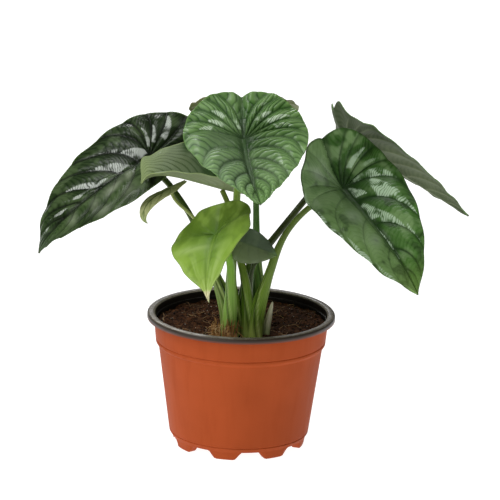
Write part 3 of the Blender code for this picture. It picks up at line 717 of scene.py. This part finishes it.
def relief(leaf, u, v, y):
    """Lift of the blade's upper face, and the marks that its materials read."""
    out = np.abs(v)
    lean = leaf.lean * (0.5 + 0.5 * ease(u, 0.42, 0.62))
    bow = leaf.arch * (1 - ease(u, 0.5, 0.75)) * 4 * out * (1 - out)
    place = u - lean * out ** 1.7 + bow
    field = np.where(v < 0, *(np.interp(place, veins, np.arange(len(veins)))
                              for veins in leaf.veins))
    index = np.floor(field)
    t = field - index
    pillow = np.clip(np.sin(np.pi * t ** 1.25), 0, 1) ** 0.7
    near_rib = ease(out, 0.0, np.where(u < 0.45, 0.32, 0.16)) * ease(u, 0.0, 0.05)
    room = 1 - 0.55 * ease(out, 0.72, 1.0)
    # Ridges leave a field's front vein squarely and turn outwards along its rear one.
    start = np.mod(np.sin(index * 12.99 + np.where(v < 0, 4.1, 0)) * 437.6, 1.0)
    phase = leaf.ridges * (out + 0.30 * np.log(t + 0.12)) + start
    phase = phase + 0.14 * np.sin(19 * u + 7 * out + 2 * index) + 0.07 * np.sin(31 * out - 23 * u)
    ridge = 1 - np.abs(2 * np.mod(phase, 1.0) - 1) ** 1.7
    across = out * leaf.width / 2
    rib = bell(across, 0, RIB_SPREAD) * ease(y, -leaf.sinus, -0.6 * leaf.sinus)
    size = leaf.width / 100
    calm = np.where(v < 0, *leaf.calm)
    if leaf.quiet:
        half, place_u, place_out = leaf.quiet
        spot = np.exp(-((u - place_u) / 0.10) ** 2 - ((out - place_out) / 0.34) ** 2)
        calm = calm * (1 - 0.8 * spot * (v * half > 0))
    before_tip = (1 - 0.85 * ease(u, 0.86, 0.97)) * calm
    lift = leaf.puff * (pillow * near_rib * room * before_tip - 0.35)
    lift = lift + leaf.fine * ridge * near_rib * (0.3 + 0.7 * pillow) * before_tip
    lift = lift - size * (1.1 * bell(across, 0, TROUGH_SPREAD) - 0.8 * rib)
    lift = lift + MARGIN_WAVE * size * (np.sin(u * 44) - 1) * ease(out, 0.75, 1.0)
    spans = [np.diff(veins)[np.clip(index.astype(int), 0, len(veins) - 2)]
             for veins in leaf.veins]
    reach = np.where(v < 0, *spans) * 1.3 * (leaf.front + leaf.back)
    vein = bell(np.minimum(t, 1 - t) * reach, 0, VEIN_SPREAD) * (1 - ease(out, 0.7, 1.0)) * calm
    crease = bell(u + 0.05 * out, 0.36, 0.05) * ease(out, 0.0, 0.2)
    crease = crease * (1 - 0.6 * out) * (leaf.crease > 0)
    lift = lift - leaf.crease * crease
    # Spots of painted light: painted sheen, and on the side leaf painted shadow.
    smoke = np.zeros_like(u)
    for place_u, place_v, spread_u, spread_v, strength in leaf.smoke:
        spot = np.exp(-((u - place_u) / spread_u) ** 2 - ((v - place_v) / spread_v) ** 2)
        smoke = np.maximum(smoke, strength * spot)
    # Painted shade round the middle of the leaf and in a band along the midrib ahead of it, fading
    # before the tip.
    deep = np.exp(-((across / 26) ** 2 + ((y - 8) / 34) ** 2) / size ** 2)
    band = 0.8 * bell(across, 0, 11 * size) * ease(y, -10, 10)
    deep = np.maximum(deep, band * (1 - ease(y / leaf.front, 0.55, 0.95)))
    return lift, {"crest": 1 - (1 - pillow * near_rib) * calm, "vein": vein, "rib": rib,
                  "phase": phase, "half": v, "along": u, "crease": crease, "calm": calm,
                  "silver": glints_in_fields(leaf, index, t, out, v), "deep": deep, "smoke": smoke}


def make_blade(name, leaf):
    def place(across, along):
        v = 2 * across - 1
        v = np.where(np.abs(v) < 1e-5, 0.0, v)
        x, y = flat_blade(leaf, along, v)
        lift, marks = relief(leaf, along, v, y)
        points = bend_blade(leaf, x, y, lift) @ turned(leaf).T + np.array(leaf.at, float)
        return points, marks

    blade = grown_sheet(name + "_blade_fine", *leaf.grid, place, outward=False)
    up = Vector(turned(leaf)[:, 2])
    if sum(face.normal.dot(up) * face.area for face in blade.data.polygons) < 0:
        blade.data.flip_normals()
    paint(blade, blade_top(name, LOOKS[name]), blade_under(name, LOOKS[name]))
    thicken(blade, BLADE_THICKNESS, -1.0, back_slot=1)
    finish_piece(blade, "leaf_blade", name + "_blade")


# Stems

def stem_route(leaf):
    up = turned(leaf) @ np.array([0, 0, 1.0])
    dip = 0.35 * leaf.puff + 0.003 * leaf.width
    top = np.array(leaf.at, float) - up * (dip + BLADE_THICKNESS - SEAT)
    x, y = leaf.base
    foot = (x, y, SOIL_Z - STEM_DEPTH)
    collar = (x, y, SOIL_Z + 5)
    neck = [tuple(top - leaf.neck * up)] if leaf.neck else []
    route = smooth_route([foot, collar, *leaf.via, *neck, tuple(top)], STEM_SPANS)
    low = 1 - ease(route[:, 2] - SOIL_Z, 12, 62)
    for axis in (0, 1):
        route[:, axis] = route[:, axis] + leaf.closer[axis] * low
    return route


def ring_directions(route):
    """Two directions across the route at each point, the first towards the viewer."""
    ahead = np.gradient(route, axis=0)
    ahead /= np.linalg.norm(ahead, axis=1)[:, None]
    front = np.array([0, -1.0, 0]) + ahead * ahead[:, 1:2]
    front /= np.linalg.norm(front, axis=1)[:, None]
    return front, np.cross(ahead, front)


def tube(name, route, sides, shape):
    """A tube along a route. shape gives its radii to the front and the side, and marks."""
    front, side = ring_directions(route)
    rows = len(route) - 1

    def place(across, along):
        row = np.rint(along * rows).astype(int)
        angle = 2 * np.pi * across
        to_front, to_side, marks = shape(row, along, angle)
        points = route[row] + front[row] * (to_front * np.cos(angle))[:, None]
        return points + side[row] * (to_side * np.sin(angle))[:, None], marks

    return grown_sheet(name, sides, rows, place)


# margin is where the sheath's free edge starts round the stem, in degrees from the
# viewer, foot is how wide the closed sheath is at the soil, in mm, and thick is the
# stem's width over its width in the frame.
def stem_look(thick=1.15, **own):
    return SimpleNamespace(thick=thick, **own)


STEM_LOOKS = {
    "left": stem_look(
        body=(78, 98, 40), streak=(44, 62, 22), sheath=(162, 200, 100), margin=60, foot=10.5),
    "centre": stem_look(
        body=(118, 146, 52), streak=(72, 102, 30), sheath=(126, 164, 50), margin=10, foot=11.0),
    "side": stem_look(
        body=(122, 140, 56), streak=(70, 90, 30), sheath=(136, 176, 62), margin=-20, foot=10.0),
    "small": stem_look(
        body=(170, 182, 110), streak=(112, 128, 66), sheath=(122, 154, 72), margin=20, foot=7.0,
        thick=0.95),
    "young": stem_look(
        body=(124, 174, 56), streak=(88, 134, 38), sheath=(166, 208, 98), margin=-22, foot=10.8),
    "dark": stem_look(
        body=(58, 76, 28), streak=(38, 52, 20), sheath=(70, 98, 30), margin=0, foot=7.0),
    "back": stem_look(
        body=(104, 142, 76), streak=(66, 98, 46), sheath=(122, 170, 70), margin=60, foot=10.5,
        thick=1.2),
    "right": stem_look(
        body=(112, 134, 58), streak=(62, 82, 32), sheath=(138, 178, 54), margin=-30, foot=12.0,
        thick=1.05),
    "far": stem_look(
        body=(64, 76, 32), streak=(36, 44, 20), sheath=(72, 100, 34), margin=10, foot=9.0,
        thick=1.35),
}
STEM_SIDES, STEM_SPANS = 36, 14
SHEATH_CLIMB = 30.0         # mm up a stem in which the sheath's edge turns by one radian
EAR_HEIGHT = 36
FLAP_LIFT = 1.2
PALE_EDGE = (206, 222, 144)
# The colour of the painted shadow under a sheath's free edge.
FLAP_SHADOW_GREEN = (38, 56, 16)
FOOT_GREEN = (188, 202, 112)


def stem_material(name, colors):
    s = Shader(name + "_stem")
    streaks, pale = s.noise(1.0, 4.0, (70, 4, 1), "UV"), s.noise(1.0, 2.0, (34, 2, 1), "UV")
    sheathed = s.mark("sheathed")
    color = s.layers(
        colors.body,
        (s.ramp(streaks, 0.38, 0.68), colors.streak),
        (s.ramp(s.noise(140.0, 3.0), 0.45, 0.75, 0.0, 0.5), colors.streak),
        (sheathed, colors.sheath),
        (s.times(s.ramp(streaks, 0.42, 0.62, 0.0, 0.8), sheathed), colors.streak),
        (s.times(s.ramp(pale, 0.52, 0.66, 0.0, 0.6), sheathed), PALE_EDGE),
        (s.ramp(s.mark("height"), 0.05, 0.40, 0.55, 0.0), FOOT_GREEN),
        (s.mark("edge"), PALE_EDGE),
        # Painted shadow under the sheath's free edge.
        (s.mark("flap_shadow"), FLAP_SHADOW_GREEN))
    s.bump(streaks, 0.35, 0.0005)
    return s.finish(color, 0.35, Specular_IOR_Level=0.18)


def make_stem(name, leaf):
    route = stem_route(leaf)
    rows = len(route) - 1
    colors = STEM_LOOKS[name]

    def shape(row, along, angle):
        height = route[row, 2] - SOIL_Z
        low = 0.6 * (1 - ease(height, 20, 56)) + 0.4 * (1 - ease(height, 40, 96))
        slim = leaf.stem * colors.thick
        radius = slim / 2 + (colors.foot - slim) / 2 * low
        # The sheath is a rolled sheet: one step round the stem, which fades out above
        # and ends in a small ear.
        turn = math.radians(colors.margin) + 1.1 - height / SHEATH_CLIMB
        round_to = np.mod(angle - turn, 2 * np.pi) / (2 * np.pi)
        step = ease(round_to, 0.0, 0.03)
        flap = (1 - round_to) ** 1.5 * step * low ** 0.7
        ear = bell(height, EAR_HEIGHT, 6) * bell(round_to, 0.05, 0.06) * step
        edge = bell(round_to, 0.030, 0.014) * ease(low, 0.02, 0.3)
        # A dark line of painted shadow just under the sheath's free edge.
        flap_shadow = bell(round_to, 0.965, 0.030) * ease(low, 0.02, 0.3)
        groove = 0.10 * bell(np.mod(angle + 0.6, 2 * np.pi), np.pi, 0.5) * (1 - low)
        flutes = 0.012 * np.sin(angle * 11)
        close = 1 - np.clip((np.abs(row - rows / 2) - rows / 2 + 1.0), 0, 1)
        r = (radius * (1 + flutes - groove) + FLAP_LIFT * (flap + ear)) * close
        return r, r, {"sheathed": low, "edge": edge * 0.7, "flap_shadow": flap_shadow * 0.8,
                      "height": height / 50}

    stem = tube(name + "_stem_fine", route, STEM_SIDES, shape)
    paint(stem, stem_material(name, colors))
    finish_piece(stem, "leaf_stem", name + "_stem")


# Strands and lumps

def strands(name, routes, widths):
    """One mesh of thin tubes along the routes, in mm, each pointed at its end."""
    curve = bpy.data.curves.new(name, "CURVE")
    curve.dimensions = "3D"
    curve.bevel_depth = 1.0
    curve.bevel_resolution = 0
    for route, width in zip(routes, widths):
        spline = curve.splines.new("POLY")
        spline.points.add(len(route) - 1)
        for index, (point, spot) in enumerate(zip(spline.points, route)):
            point.co = (*(np.asarray(spot) * MM), 1.0)
            point.radius = width / 2 * MM * (1 - 0.8 * index / (len(route) - 1))
    make_active(add_object(name, curve))
    bpy.ops.object.convert(target="MESH")
    return bpy.context.active_object


def lumps(name, spots, seed):
    """One mesh of small uneven lumps; a spot is x, y, z and size, in mm."""
    deselect_all()
    bpy.ops.mesh.primitive_ico_sphere_add(subdivisions=1, radius=1)
    first = bpy.context.active_object
    ball = np.array([vert.co for vert in first.data.vertices])
    ball_faces = np.array([tuple(face.vertices) for face in first.data.polygons])
    bpy.data.objects.remove(first)
    dice = np.random.RandomState(seed)
    points, faces = [], []
    for x, y, z, size in spots:
        stretch = dice.uniform(0.5, 1.0, 3) * (1.0, 1.0, 0.7)
        dents = 1 + 0.22 * np.sin(ball @ dice.uniform(-4, 4, (3, 3))).sum(axis=1)
        spin = np.array(Matrix.Rotation(dice.uniform(0, 6.3), 3, "Z"))
        faces.append(ball_faces + len(points) * len(ball))
        points.append((ball * dents[:, None] * stretch) @ spin.T * size / 2 + (x, y, z))
    mesh = bpy.data.meshes.new(name)
    mesh.from_pydata(np.concatenate(points) * MM, [], np.concatenate(faces).tolist())
    return add_object(name, mesh)


def wandering(dice, x, y, length, height, steps=7):
    """A curved route that lies on the potting mix and lifts off it on the way."""
    heading, turn = dice.uniform(0, 2 * math.pi), dice.uniform(-0.45, 0.45)
    route = []
    for step in range(steps + 1):
        away = math.hypot(x, y)
        limit = inner_radius(SOIL_Z) - 2
        if away > limit:
            x, y = x * limit / away, y * limit / away
        t = step / steps
        route.append((x, y, soil_top(x, y) + 0.2 + height * math.sin(math.pi * t)))
        heading += turn + dice.uniform(-0.25, 0.25)
        x += length / steps * math.cos(heading)
        y += length / steps * math.sin(heading)
    return route


# Pot

def fillet(points, radius, steps=3):
    """A profile with each inner corner rounded."""
    p = [np.array(q, float) for q in points]
    out = [p[0]]
    for a, b, c in zip(p, p[1:], p[2:]):
        reach = min(radius, np.linalg.norm(a - b) * 0.45, np.linalg.norm(c - b) * 0.45)
        start = b + (a - b) / np.linalg.norm(a - b) * reach
        end = b + (c - b) / np.linalg.norm(c - b) * reach
        for k in range(steps + 1):
            t = k / steps
            out.append((1 - t) ** 2 * start + 2 * t * (1 - t) * b + t * t * end)
    out.append(p[-1])
    return np.array(out)


def pot_profile():
    """The sheet's outer face from the centre of the floor to the edge of the lip."""
    ledge = POT_HEIGHT - LIP_HEIGHT
    hook = POT_HEIGHT - POT_SHEET
    lip_inner = POT_RIM_RADIUS - POT_SHEET
    corners = [
        (0, 0), (26, 0), (29, NOTCH_HEIGHT), (45.5, NOTCH_HEIGHT), (48, 0),
        (POT_FOOT_RADIUS, 0), (POT_FOOT_RADIUS + 1.5, NOTCH_HEIGHT),
        (WALL_FOOT_RADIUS, WALL_FOOT_Z - 0.6),
        (WALL_FOOT_RADIUS - 0.7, WALL_FOOT_Z), (WALL_FOOT_RADIUS + 0.1, WALL_FOOT_Z + 0.6),
        (WALL_TOP_RADIUS, WALL_TOP_Z), (COLLAR_FOOT_RADIUS, COLLAR_FOOT_Z),
        (COLLAR_FOOT_RADIUS + 0.2, COLLAR_FOOT_Z + 2.2),
        (COLLAR_FOOT_RADIUS - 0.5, COLLAR_FOOT_Z + 2.8),
        (COLLAR_FOOT_RADIUS + 0.3, COLLAR_FOOT_Z + 3.4),
        (COLLAR_TOP_RADIUS, ledge), (COLLAR_TOP_RADIUS, hook),
        (lip_inner, hook), (lip_inner, ledge),
    ]
    return fillet(corners, 0.8)


def make_pot():
    profile = pot_profile()
    rays = NOTCH_COUNT * 24
    pitch = 360 / NOTCH_COUNT
    turn_start = math.radians(NOTCH_TURN - 90)

    def place(across, along):
        row = np.rint(along * (len(profile) - 1)).astype(int)
        ray = np.rint(across * rays).astype(int)
        degrees = ray * 360 / rays
        turn = turn_start + np.radians(degrees)
        r, z = profile[row, 0], profile[row, 1]
        from_notch = np.abs(np.mod(degrees + pitch / 2, pitch) - pitch / 2)
        opened = NOTCH_HEIGHT * (1 - np.clip((from_notch - NOTCH_TOP_HALF)
                                             / (NOTCH_FOOT_HALF - NOTCH_TOP_HALF), 0, 1))
        z = np.where((r > NOTCH_INNER_RADIUS) & (z < opened), opened, z)
        return np.stack([r * np.cos(turn), r * np.sin(turn), z], -1), {}

    pot = grown_sheet("pot_fine", rays, len(profile) - 1, place)
    if min(pot.data.polygons, key=lambda face: face.center.z).normal.z > 0:
        pot.data.flip_normals()
    paint(pot, terracotta(), black_layer())
    thicken(pot, POT_SHEET, -1.0, back_slot=1)
    finish_piece(pot, "terracotta_plastic", "pot")


def terracotta():
    s = Shader("terracotta_plastic")
    drawn = s.noise(160.0, 3.0, (1, 1, 0.06))
    color = s.layers((178, 80, 38), (s.ramp(s.noise(14.0, 3.0), 0.35, 0.7), (166, 74, 34)),
                     (s.ramp(drawn, 0.45, 0.8, 0.0, 0.35), (158, 68, 31)))
    s.bump(drawn, 0.10, 0.0003)
    return s.finish(color, s.ramp(drawn, 0.3, 0.8, 0.55, 0.65), Specular_IOR_Level=0.08)


def black_layer():
    """The sheet's dark inner layer, with its places in m; painted sheen on the lip's top, painted
    highlight on its inner edge.
    """
    s = Shader("black_inside_layer")
    soft, specks = s.noise(60.0, 3.0), s.noise(420.0, 4.0)
    apart = s.node("SeparateXYZ", s.node("TexCoord").outputs["Object"])
    x, y, z = (apart.outputs[axis] for axis in "XYZ")
    away = s.math("SQRT", s.plus(s.times(x, x), s.times(y, y)))
    lip = s.ramp(away, 0.0716, 0.0726)
    # The lip's flat top, painted lighter grey in specks: a painted sheen.
    top = s.times(lip, s.ramp(z, 0.1100, 0.1108))
    outside = s.times(lip, s.ramp(z, 0.1100, 0.1108, 1.0, 0.0))
    below = s.times(lip, s.ramp(z, 0.1068, 0.1084, 0.9, 0.0))
    # A painted highlight: a thin light line along the lip's rounded inner edge.
    inner_edge = s.times(s.ramp(away, 0.0702, 0.0708), s.ramp(away, 0.0716, 0.0722, 1.0, 0.0))
    glint_mask = s.times(inner_edge, s.ramp(z, 0.1094, 0.1104))
    color = s.layers(
        (26, 22, 18),
        (s.ramp(soft, 0.4, 0.7), (40, 35, 29)),
        (s.times(top, s.ramp(specks, 0.30, 0.65, 0.45, 1.0)), (124, 115, 100)),
        (s.times(outside, 0.8), (56, 43, 32)),
        (below, (118, 58, 38)),
        (s.times(glint_mask, s.ramp(specks, 0.3, 0.6, 0.5, 1.0)), (168, 158, 142)))
    s.bump(specks, 0.12, 0.0003)
    return s.finish(color, s.ramp(soft, 0.3, 0.7, 0.36, 0.5), Specular_IOR_Level=0.35)


def make_inner_ledge():
    """The low bead round the inside of the collar, just under the lip."""
    deselect_all()
    bpy.ops.mesh.primitive_torus_add(
        major_segments=160, minor_segments=10, major_radius=LEDGE_RADIUS * MM,
        minor_radius=LEDGE_BEAD * MM, location=(0, 0, LEDGE_Z * MM))
    ledge = bpy.context.active_object
    ledge.name = ledge.data.name = "inner_ledge"
    bpy.ops.object.transform_apply(location=True, rotation=True, scale=True)
    paint(ledge, bpy.data.materials["black_inside_layer"])
    finish_piece(ledge, "terracotta_plastic")


# Potting mix

def soil_top(x, y):
    """Height of the potting mix: level at the crown, lumpy and higher around."""
    away = math.hypot(x, (y - LEVEL_Y) * 1.15)
    t = min(1.0, max(0.0, (away - LEVEL_RADIUS) / SLOPE_WIDTH))
    waves = noise.fractal((x * 0.09, y * 0.09, 3.0), 0.9, 2.1, 3)
    crumbs = noise.fractal((x * 0.33, y * 0.33, 9.0), 0.7, 2.3, 4)
    return SOIL_Z + t * t * (3 - 2 * t) * SOIL_RISE + min(1, 2 * t) * 1.3 * waves + 1.1 * crumbs


def inner_radius(z):
    """Inside of the pot at a height."""
    heights = (NOTCH_HEIGHT, WALL_FOOT_Z, WALL_TOP_Z + 1.5, COLLAR_FOOT_Z + 1.5, POT_HEIGHT)
    radii = (POT_FOOT_RADIUS + 1, WALL_FOOT_RADIUS, WALL_TOP_RADIUS, COLLAR_FOOT_RADIUS,
             COLLAR_TOP_RADIUS)
    return float(np.interp(z, heights, radii)) - POT_SHEET - 0.5


def make_soil():
    rings, rays = SOIL_GRID

    def place(across, along):
        turn = 2 * np.pi * np.rint(across * rays) / rays
        row = np.rint(along * (rings + 4)).astype(int)
        points = np.zeros((len(across), 3))
        edge = inner_radius(SOIL_Z + 3)
        wall = [(edge, SOIL_Z - 2), (inner_radius(WALL_TOP_Z), WALL_TOP_Z),
                (inner_radius(30), 30), (0.0, NOTCH_HEIGHT + POT_SHEET + 0.5)]
        for i, (a, k) in enumerate(zip(turn, row)):
            if k <= rings:
                r = edge * (k / rings) ** 0.9
                x, y = r * math.cos(a), r * math.sin(a)
                points[i] = (x, y, soil_top(x, y))
            else:
                r, z = wall[k - rings - 1]
                points[i] = (r * math.cos(a), r * math.sin(a), z)
        return points, {}

    soil = grown_sheet("potting_mix_fine", rays, rings + 4, place)
    paint(soil, soil_material())
    finish_piece(soil, "potting_mix", "potting_mix")


def soil_material():
    s = Shader("potting_mix_dark")
    fine = s.noise(420.0, 5.0, roughness=0.7)
    color = s.layers((29, 16, 9), (s.ramp(fine, 0.38, 0.72), (124, 80, 52)),
                     (s.ramp(s.noise(90.0, 3.0), 0.4, 0.7, 0.0, 0.6), (46, 24, 13)))
    s.bump(fine, 0.8, 0.0010)
    return s.finish(color, 0.95, Specular_IOR_Level=0.08)


def plain_material(name, light, dark, scale, roughness):
    """Two close colours that change over the surface, with a fine grain."""
    s = Shader(name)
    grain = s.noise(scale, 4.0)
    s.bump(grain, 0.4, 0.0004)
    return s.finish(s.mix(s.ramp(grain, 0.38, 0.66), dark, light), roughness,
                    Specular_IOR_Level=0.3)


def finish_plain(obj, slot, *material):
    paint(obj, plain_material(*material))
    finish_piece(obj, slot)


def make_soil_litter():
    """Crumbs, fine roots and white specks on the potting mix."""
    dice = random.Random(LITTER_SEED)
    reach = inner_radius(SOIL_Z) - 3

    def spots(number, low, high):
        found = []
        while len(found) < number:
            x, y = dice.uniform(-reach, reach), dice.uniform(-reach, reach)
            if math.hypot(x, y) < reach:
                found.append((x, y, soil_top(x, y) + 0.2, dice.uniform(low, high)))
        return found

    crumbs = lumps("soil_crumbs", spots(CRUMBS, 1.0, 3.4), CRUMB_SEED)
    finish_plain(crumbs, "potting_mix", "bark_brown", (88, 56, 34), (20, 10, 5), 300.0, 0.95)
    specks = lumps("white_specks", spots(SPECKS, 0.45, 1.4), SPECK_SEED)
    finish_plain(specks, "potting_mix", "speck_white", (222, 214, 200), (170, 158, 140), 500.0, 0.8)
    routes = [wandering(dice, x, y, dice.uniform(6, 20), dice.uniform(0.2, 2.4))
              for x, y, z, size in spots(ROOTS, 1, 2)]
    roots = strands("fine_roots", routes, [dice.uniform(0.25, 0.55) for route in routes])
    finish_plain(roots, "potting_mix", "root_tan", (196, 160, 116), (92, 62, 38), 60.0, 0.8)


# Old sheath and spike

def make_old_sheath():
    """Torn brown strips round the foot of the left stems, with curled fibres."""
    dice = random.Random(SHEATH_SEED)
    centre_x, centre_y = OLD_SHEATH_CENTRE
    pieces = []
    sector = OLD_SHEATH_LAST - OLD_SHEATH_FIRST
    for number in range(OLD_SHEATH_STRIPS):
        turn = math.radians(OLD_SHEATH_FIRST + sector * (number + 0.5) / OLD_SHEATH_STRIPS
                            + dice.uniform(-3, 3))
        tall, wide = dice.uniform(9, 19), dice.uniform(1.2, 2.4)
        lean, base = dice.uniform(0.0, 2.6), OLD_SHEATH_RADIUS + dice.uniform(-0.9, 0.7)
        twist = dice.uniform(-0.25, 0.25)

        def place(across, along):
            r = base + lean * along ** 2
            half = wide / 2 * (1 - along ** 2.2)
            a = turn + twist * along + (across - 0.5) * 2 * half / r
            z = SOIL_Z - 2 + (tall + 2) * along + 0.6 * np.sin(across * 9 + along * 4)
            return np.stack([centre_x + r * np.cos(a), centre_y + r * np.sin(a), z], -1), {}

        strip = grown_sheet("old_sheath_strip", 4, 12, place)
        thicken(strip, OLD_SHEATH_SHEET, 0.0)
        pieces.append(strip)
    deselect_all()
    for strip in pieces:
        strip.select_set(True)
    bpy.context.view_layer.objects.active = pieces[0]
    bpy.ops.object.join()
    sheath = bpy.context.active_object
    sheath.name = sheath.data.name = "old_sheath_fine"
    s = Shader("old_sheath_brown")
    threads = s.noise(900.0, 4.0, (1, 1, 0.12))
    color = s.mix(s.ramp(threads, 0.36, 0.66), (206, 158, 96), (84, 50, 22))
    s.bump(threads, 0.7, 0.0006)
    paint(sheath, s.finish(color, 0.85, Specular_IOR_Level=0.2))
    finish_piece(sheath, "dry_sheath", "old_sheath")
    make_sheath_fibres(dice)


def make_sheath_fibres(dice):
    centre_x, centre_y = OLD_SHEATH_CENTRE
    routes = []
    for number in range(OLD_SHEATH_FIBRES):
        turn = math.radians(dice.uniform(OLD_SHEATH_FIRST - 40, OLD_SHEATH_LAST + 10))
        x = centre_x + OLD_SHEATH_RADIUS * math.cos(turn)
        y = centre_y + OLD_SHEATH_RADIUS * math.sin(turn)
        z = SOIL_Z + dice.uniform(1, 14)
        curl, spread, route = dice.uniform(-1.2, 1.2), dice.uniform(0.4, 1.3), []
        for step in range(8):
            route.append((x, y, max(z, soil_top(x, y) + 0.3)))
            turn += curl * 0.35
            x += spread * 1.3 * math.cos(turn)
            y += spread * 1.3 * math.sin(turn)
            z += dice.uniform(-1.7, 1.0)
        routes.append(route)
    fibres = strands("old_sheath_fibres", routes, [dice.uniform(0.4, 0.8) for route in routes])
    finish_plain(fibres, "dry_sheath", "fibre_straw", (238, 206, 150), (168, 118, 62), 120.0, 0.75)


def make_new_spike():
    """The pale pointed scale of the next leaf, rolled and a little flattened."""
    route = smooth_route(SPIKE_ROUTE, SPIKE_SPANS)

    def shape(row, along, angle):
        taper = np.sin(np.pi * np.clip(0.25 + 0.75 * along, 0, 1)) ** 0.55
        roll = 0.22 * (np.mod(angle + 1.0, 2 * np.pi) / (2 * np.pi)) ** 3
        r = SPIKE_WIDTH / 2 * taper * (1 + roll) * (along > 0)
        return SPIKE_DEPTH * r, r, {"tall": along}

    spike = tube("new_spike_fine", route, SPIKE_SIDES, shape)
    s = Shader("spike_pale_green")
    lines = s.noise(1.0, 3.0, (40, 3, 1), "UV")
    tall = s.mark("tall")
    color = s.layers((250, 247, 216), (s.ramp(lines, 0.4, 0.65), (226, 222, 176)),
                     (s.ramp(tall, 0.85, 1.0), (236, 228, 196)),
                     (s.ramp(tall, 0.30, 0.65, 0.8, 0.0), (156, 178, 108)))
    s.bump(lines, 0.3, 0.0004)
    paint(spike, s.finish(color, 0.5, Specular_IOR_Level=0.35))
    finish_piece(spike, "pale_spike", "new_spike")


# Studio

# Each light's azimuth from the back to the right, elevation and distance from the
# plant's middle, its size and its power
LIGHTS = {
    "low_back_light": (-8, 32, 1.9, (0.5, 0.35), 9),
    "top_back_light": (-60, 66, 1.9, (0.6, 0.6), 12),
    "left_light": (-105, 46, 2.0, (0.55, 0.55), 11),
    "right_light": (72, 62, 2.0, (0.5, 0.5), 4.2),
    "right_front_light": (154, 36, 2.2, (0.35, 0.35), 1.2),
    "front_wash": (-146, 30, 2.6, (1.4, 1.2), 16),
}
PLANT_MIDDLE = (0, 0, 0.2)
ROOM_STRENGTH = 0.12
FLOOR_SIZE = 60
FLOOR_GREY, FLOOR_GLOW = 0.3, 0.97


def soft_box(name, azimuth, elevation, distance, size, power):
    data = bpy.data.lights.new(name, "AREA")
    data.shape = "RECTANGLE"
    data.size, data.size_y = size
    data.energy = power
    lamp = add_object(name, data)
    a, e = math.radians(azimuth), math.radians(elevation)
    middle = Vector(PLANT_MIDDLE)
    away = Vector((math.sin(a) * math.cos(e), math.cos(a) * math.cos(e), math.sin(e)))
    lamp.location = middle + away * distance
    lamp.rotation_euler = (middle - lamp.location).to_track_quat("-Z", "Y").to_euler()


def make_studio():
    world = bpy.data.worlds.new("white_room")
    bpy.context.scene.world = world
    world.use_nodes = True
    background = world.node_tree.nodes["Background"]
    background.inputs["Color"].default_value = (1.0, 1.0, 1.0, 1.0)
    background.inputs["Strength"].default_value = ROOM_STRENGTH
    for name, values in LIGHTS.items():
        soft_box(name, *values)
    deselect_all()
    bpy.ops.mesh.primitive_plane_add(size=FLOOR_SIZE, location=(0, 0, 0))
    floor = bpy.context.active_object
    floor.name = "floor"
    s = Shader("floor_white")
    paint(floor, s.finish((0, 0, 0), 0.9, Emission_Strength=FLOOR_GLOW))
    for socket, level in (("Base Color", FLOOR_GREY), ("Emission Color", 1.0)):
        s.principled.inputs[socket].default_value = (level, level, level, 1.0)
    bpy.context.scene.view_settings.view_transform = "Standard"


# Camera, from the photograph's view of the pot's rim
ELEVATION = 16.5
ROLL = 1.3
DISTANCE = 3.5
PIXEL = 0.0008245             # metres a pixel at the pot's axis
FRAME = 500
RIM_CENTRE_PIXEL = (241.3, 312.0)


def make_camera():
    e, roll = math.radians(ELEVATION), math.radians(ROLL)
    ahead = Vector((0, math.cos(e), -math.sin(e)))
    across, up = Vector((1, 0, 0)), Vector((0, math.sin(e), math.cos(e)))
    right = across * math.cos(roll) + up * math.sin(roll)
    top = up * math.cos(roll) - across * math.sin(roll)
    rim = Vector((0, 0, POT_HEIGHT * MM))
    data = bpy.data.cameras.new("camera")
    data.sensor_width = 36.0
    data.lens = data.sensor_width * DISTANCE / (FRAME * PIXEL)
    data.clip_end = 100.0
    camera = add_object("camera", data)
    px, py = RIM_CENTRE_PIXEL
    look_along = (ahead * DISTANCE + right * ((FRAME / 2 - px) * PIXEL)
                  + top * ((py - FRAME / 2) * PIXEL)).normalized()
    right = (right - look_along * right.dot(look_along)).normalized()
    top = right.cross(look_along)
    matrix = Matrix((right, top, -look_along)).transposed().to_4x4()
    matrix.translation = rim - ahead * DISTANCE
    camera.matrix_world = matrix
    bpy.context.scene.camera = camera


deselect_all()
make_camera()
make_studio()
make_pot()
make_inner_ledge()
make_soil()
make_soil_litter()
make_old_sheath()
make_new_spike()
for leaf_name, leaf_sizes in LEAVES.items():
    make_stem(leaf_name, leaf_sizes)
    make_blade(leaf_name, leaf_sizes)
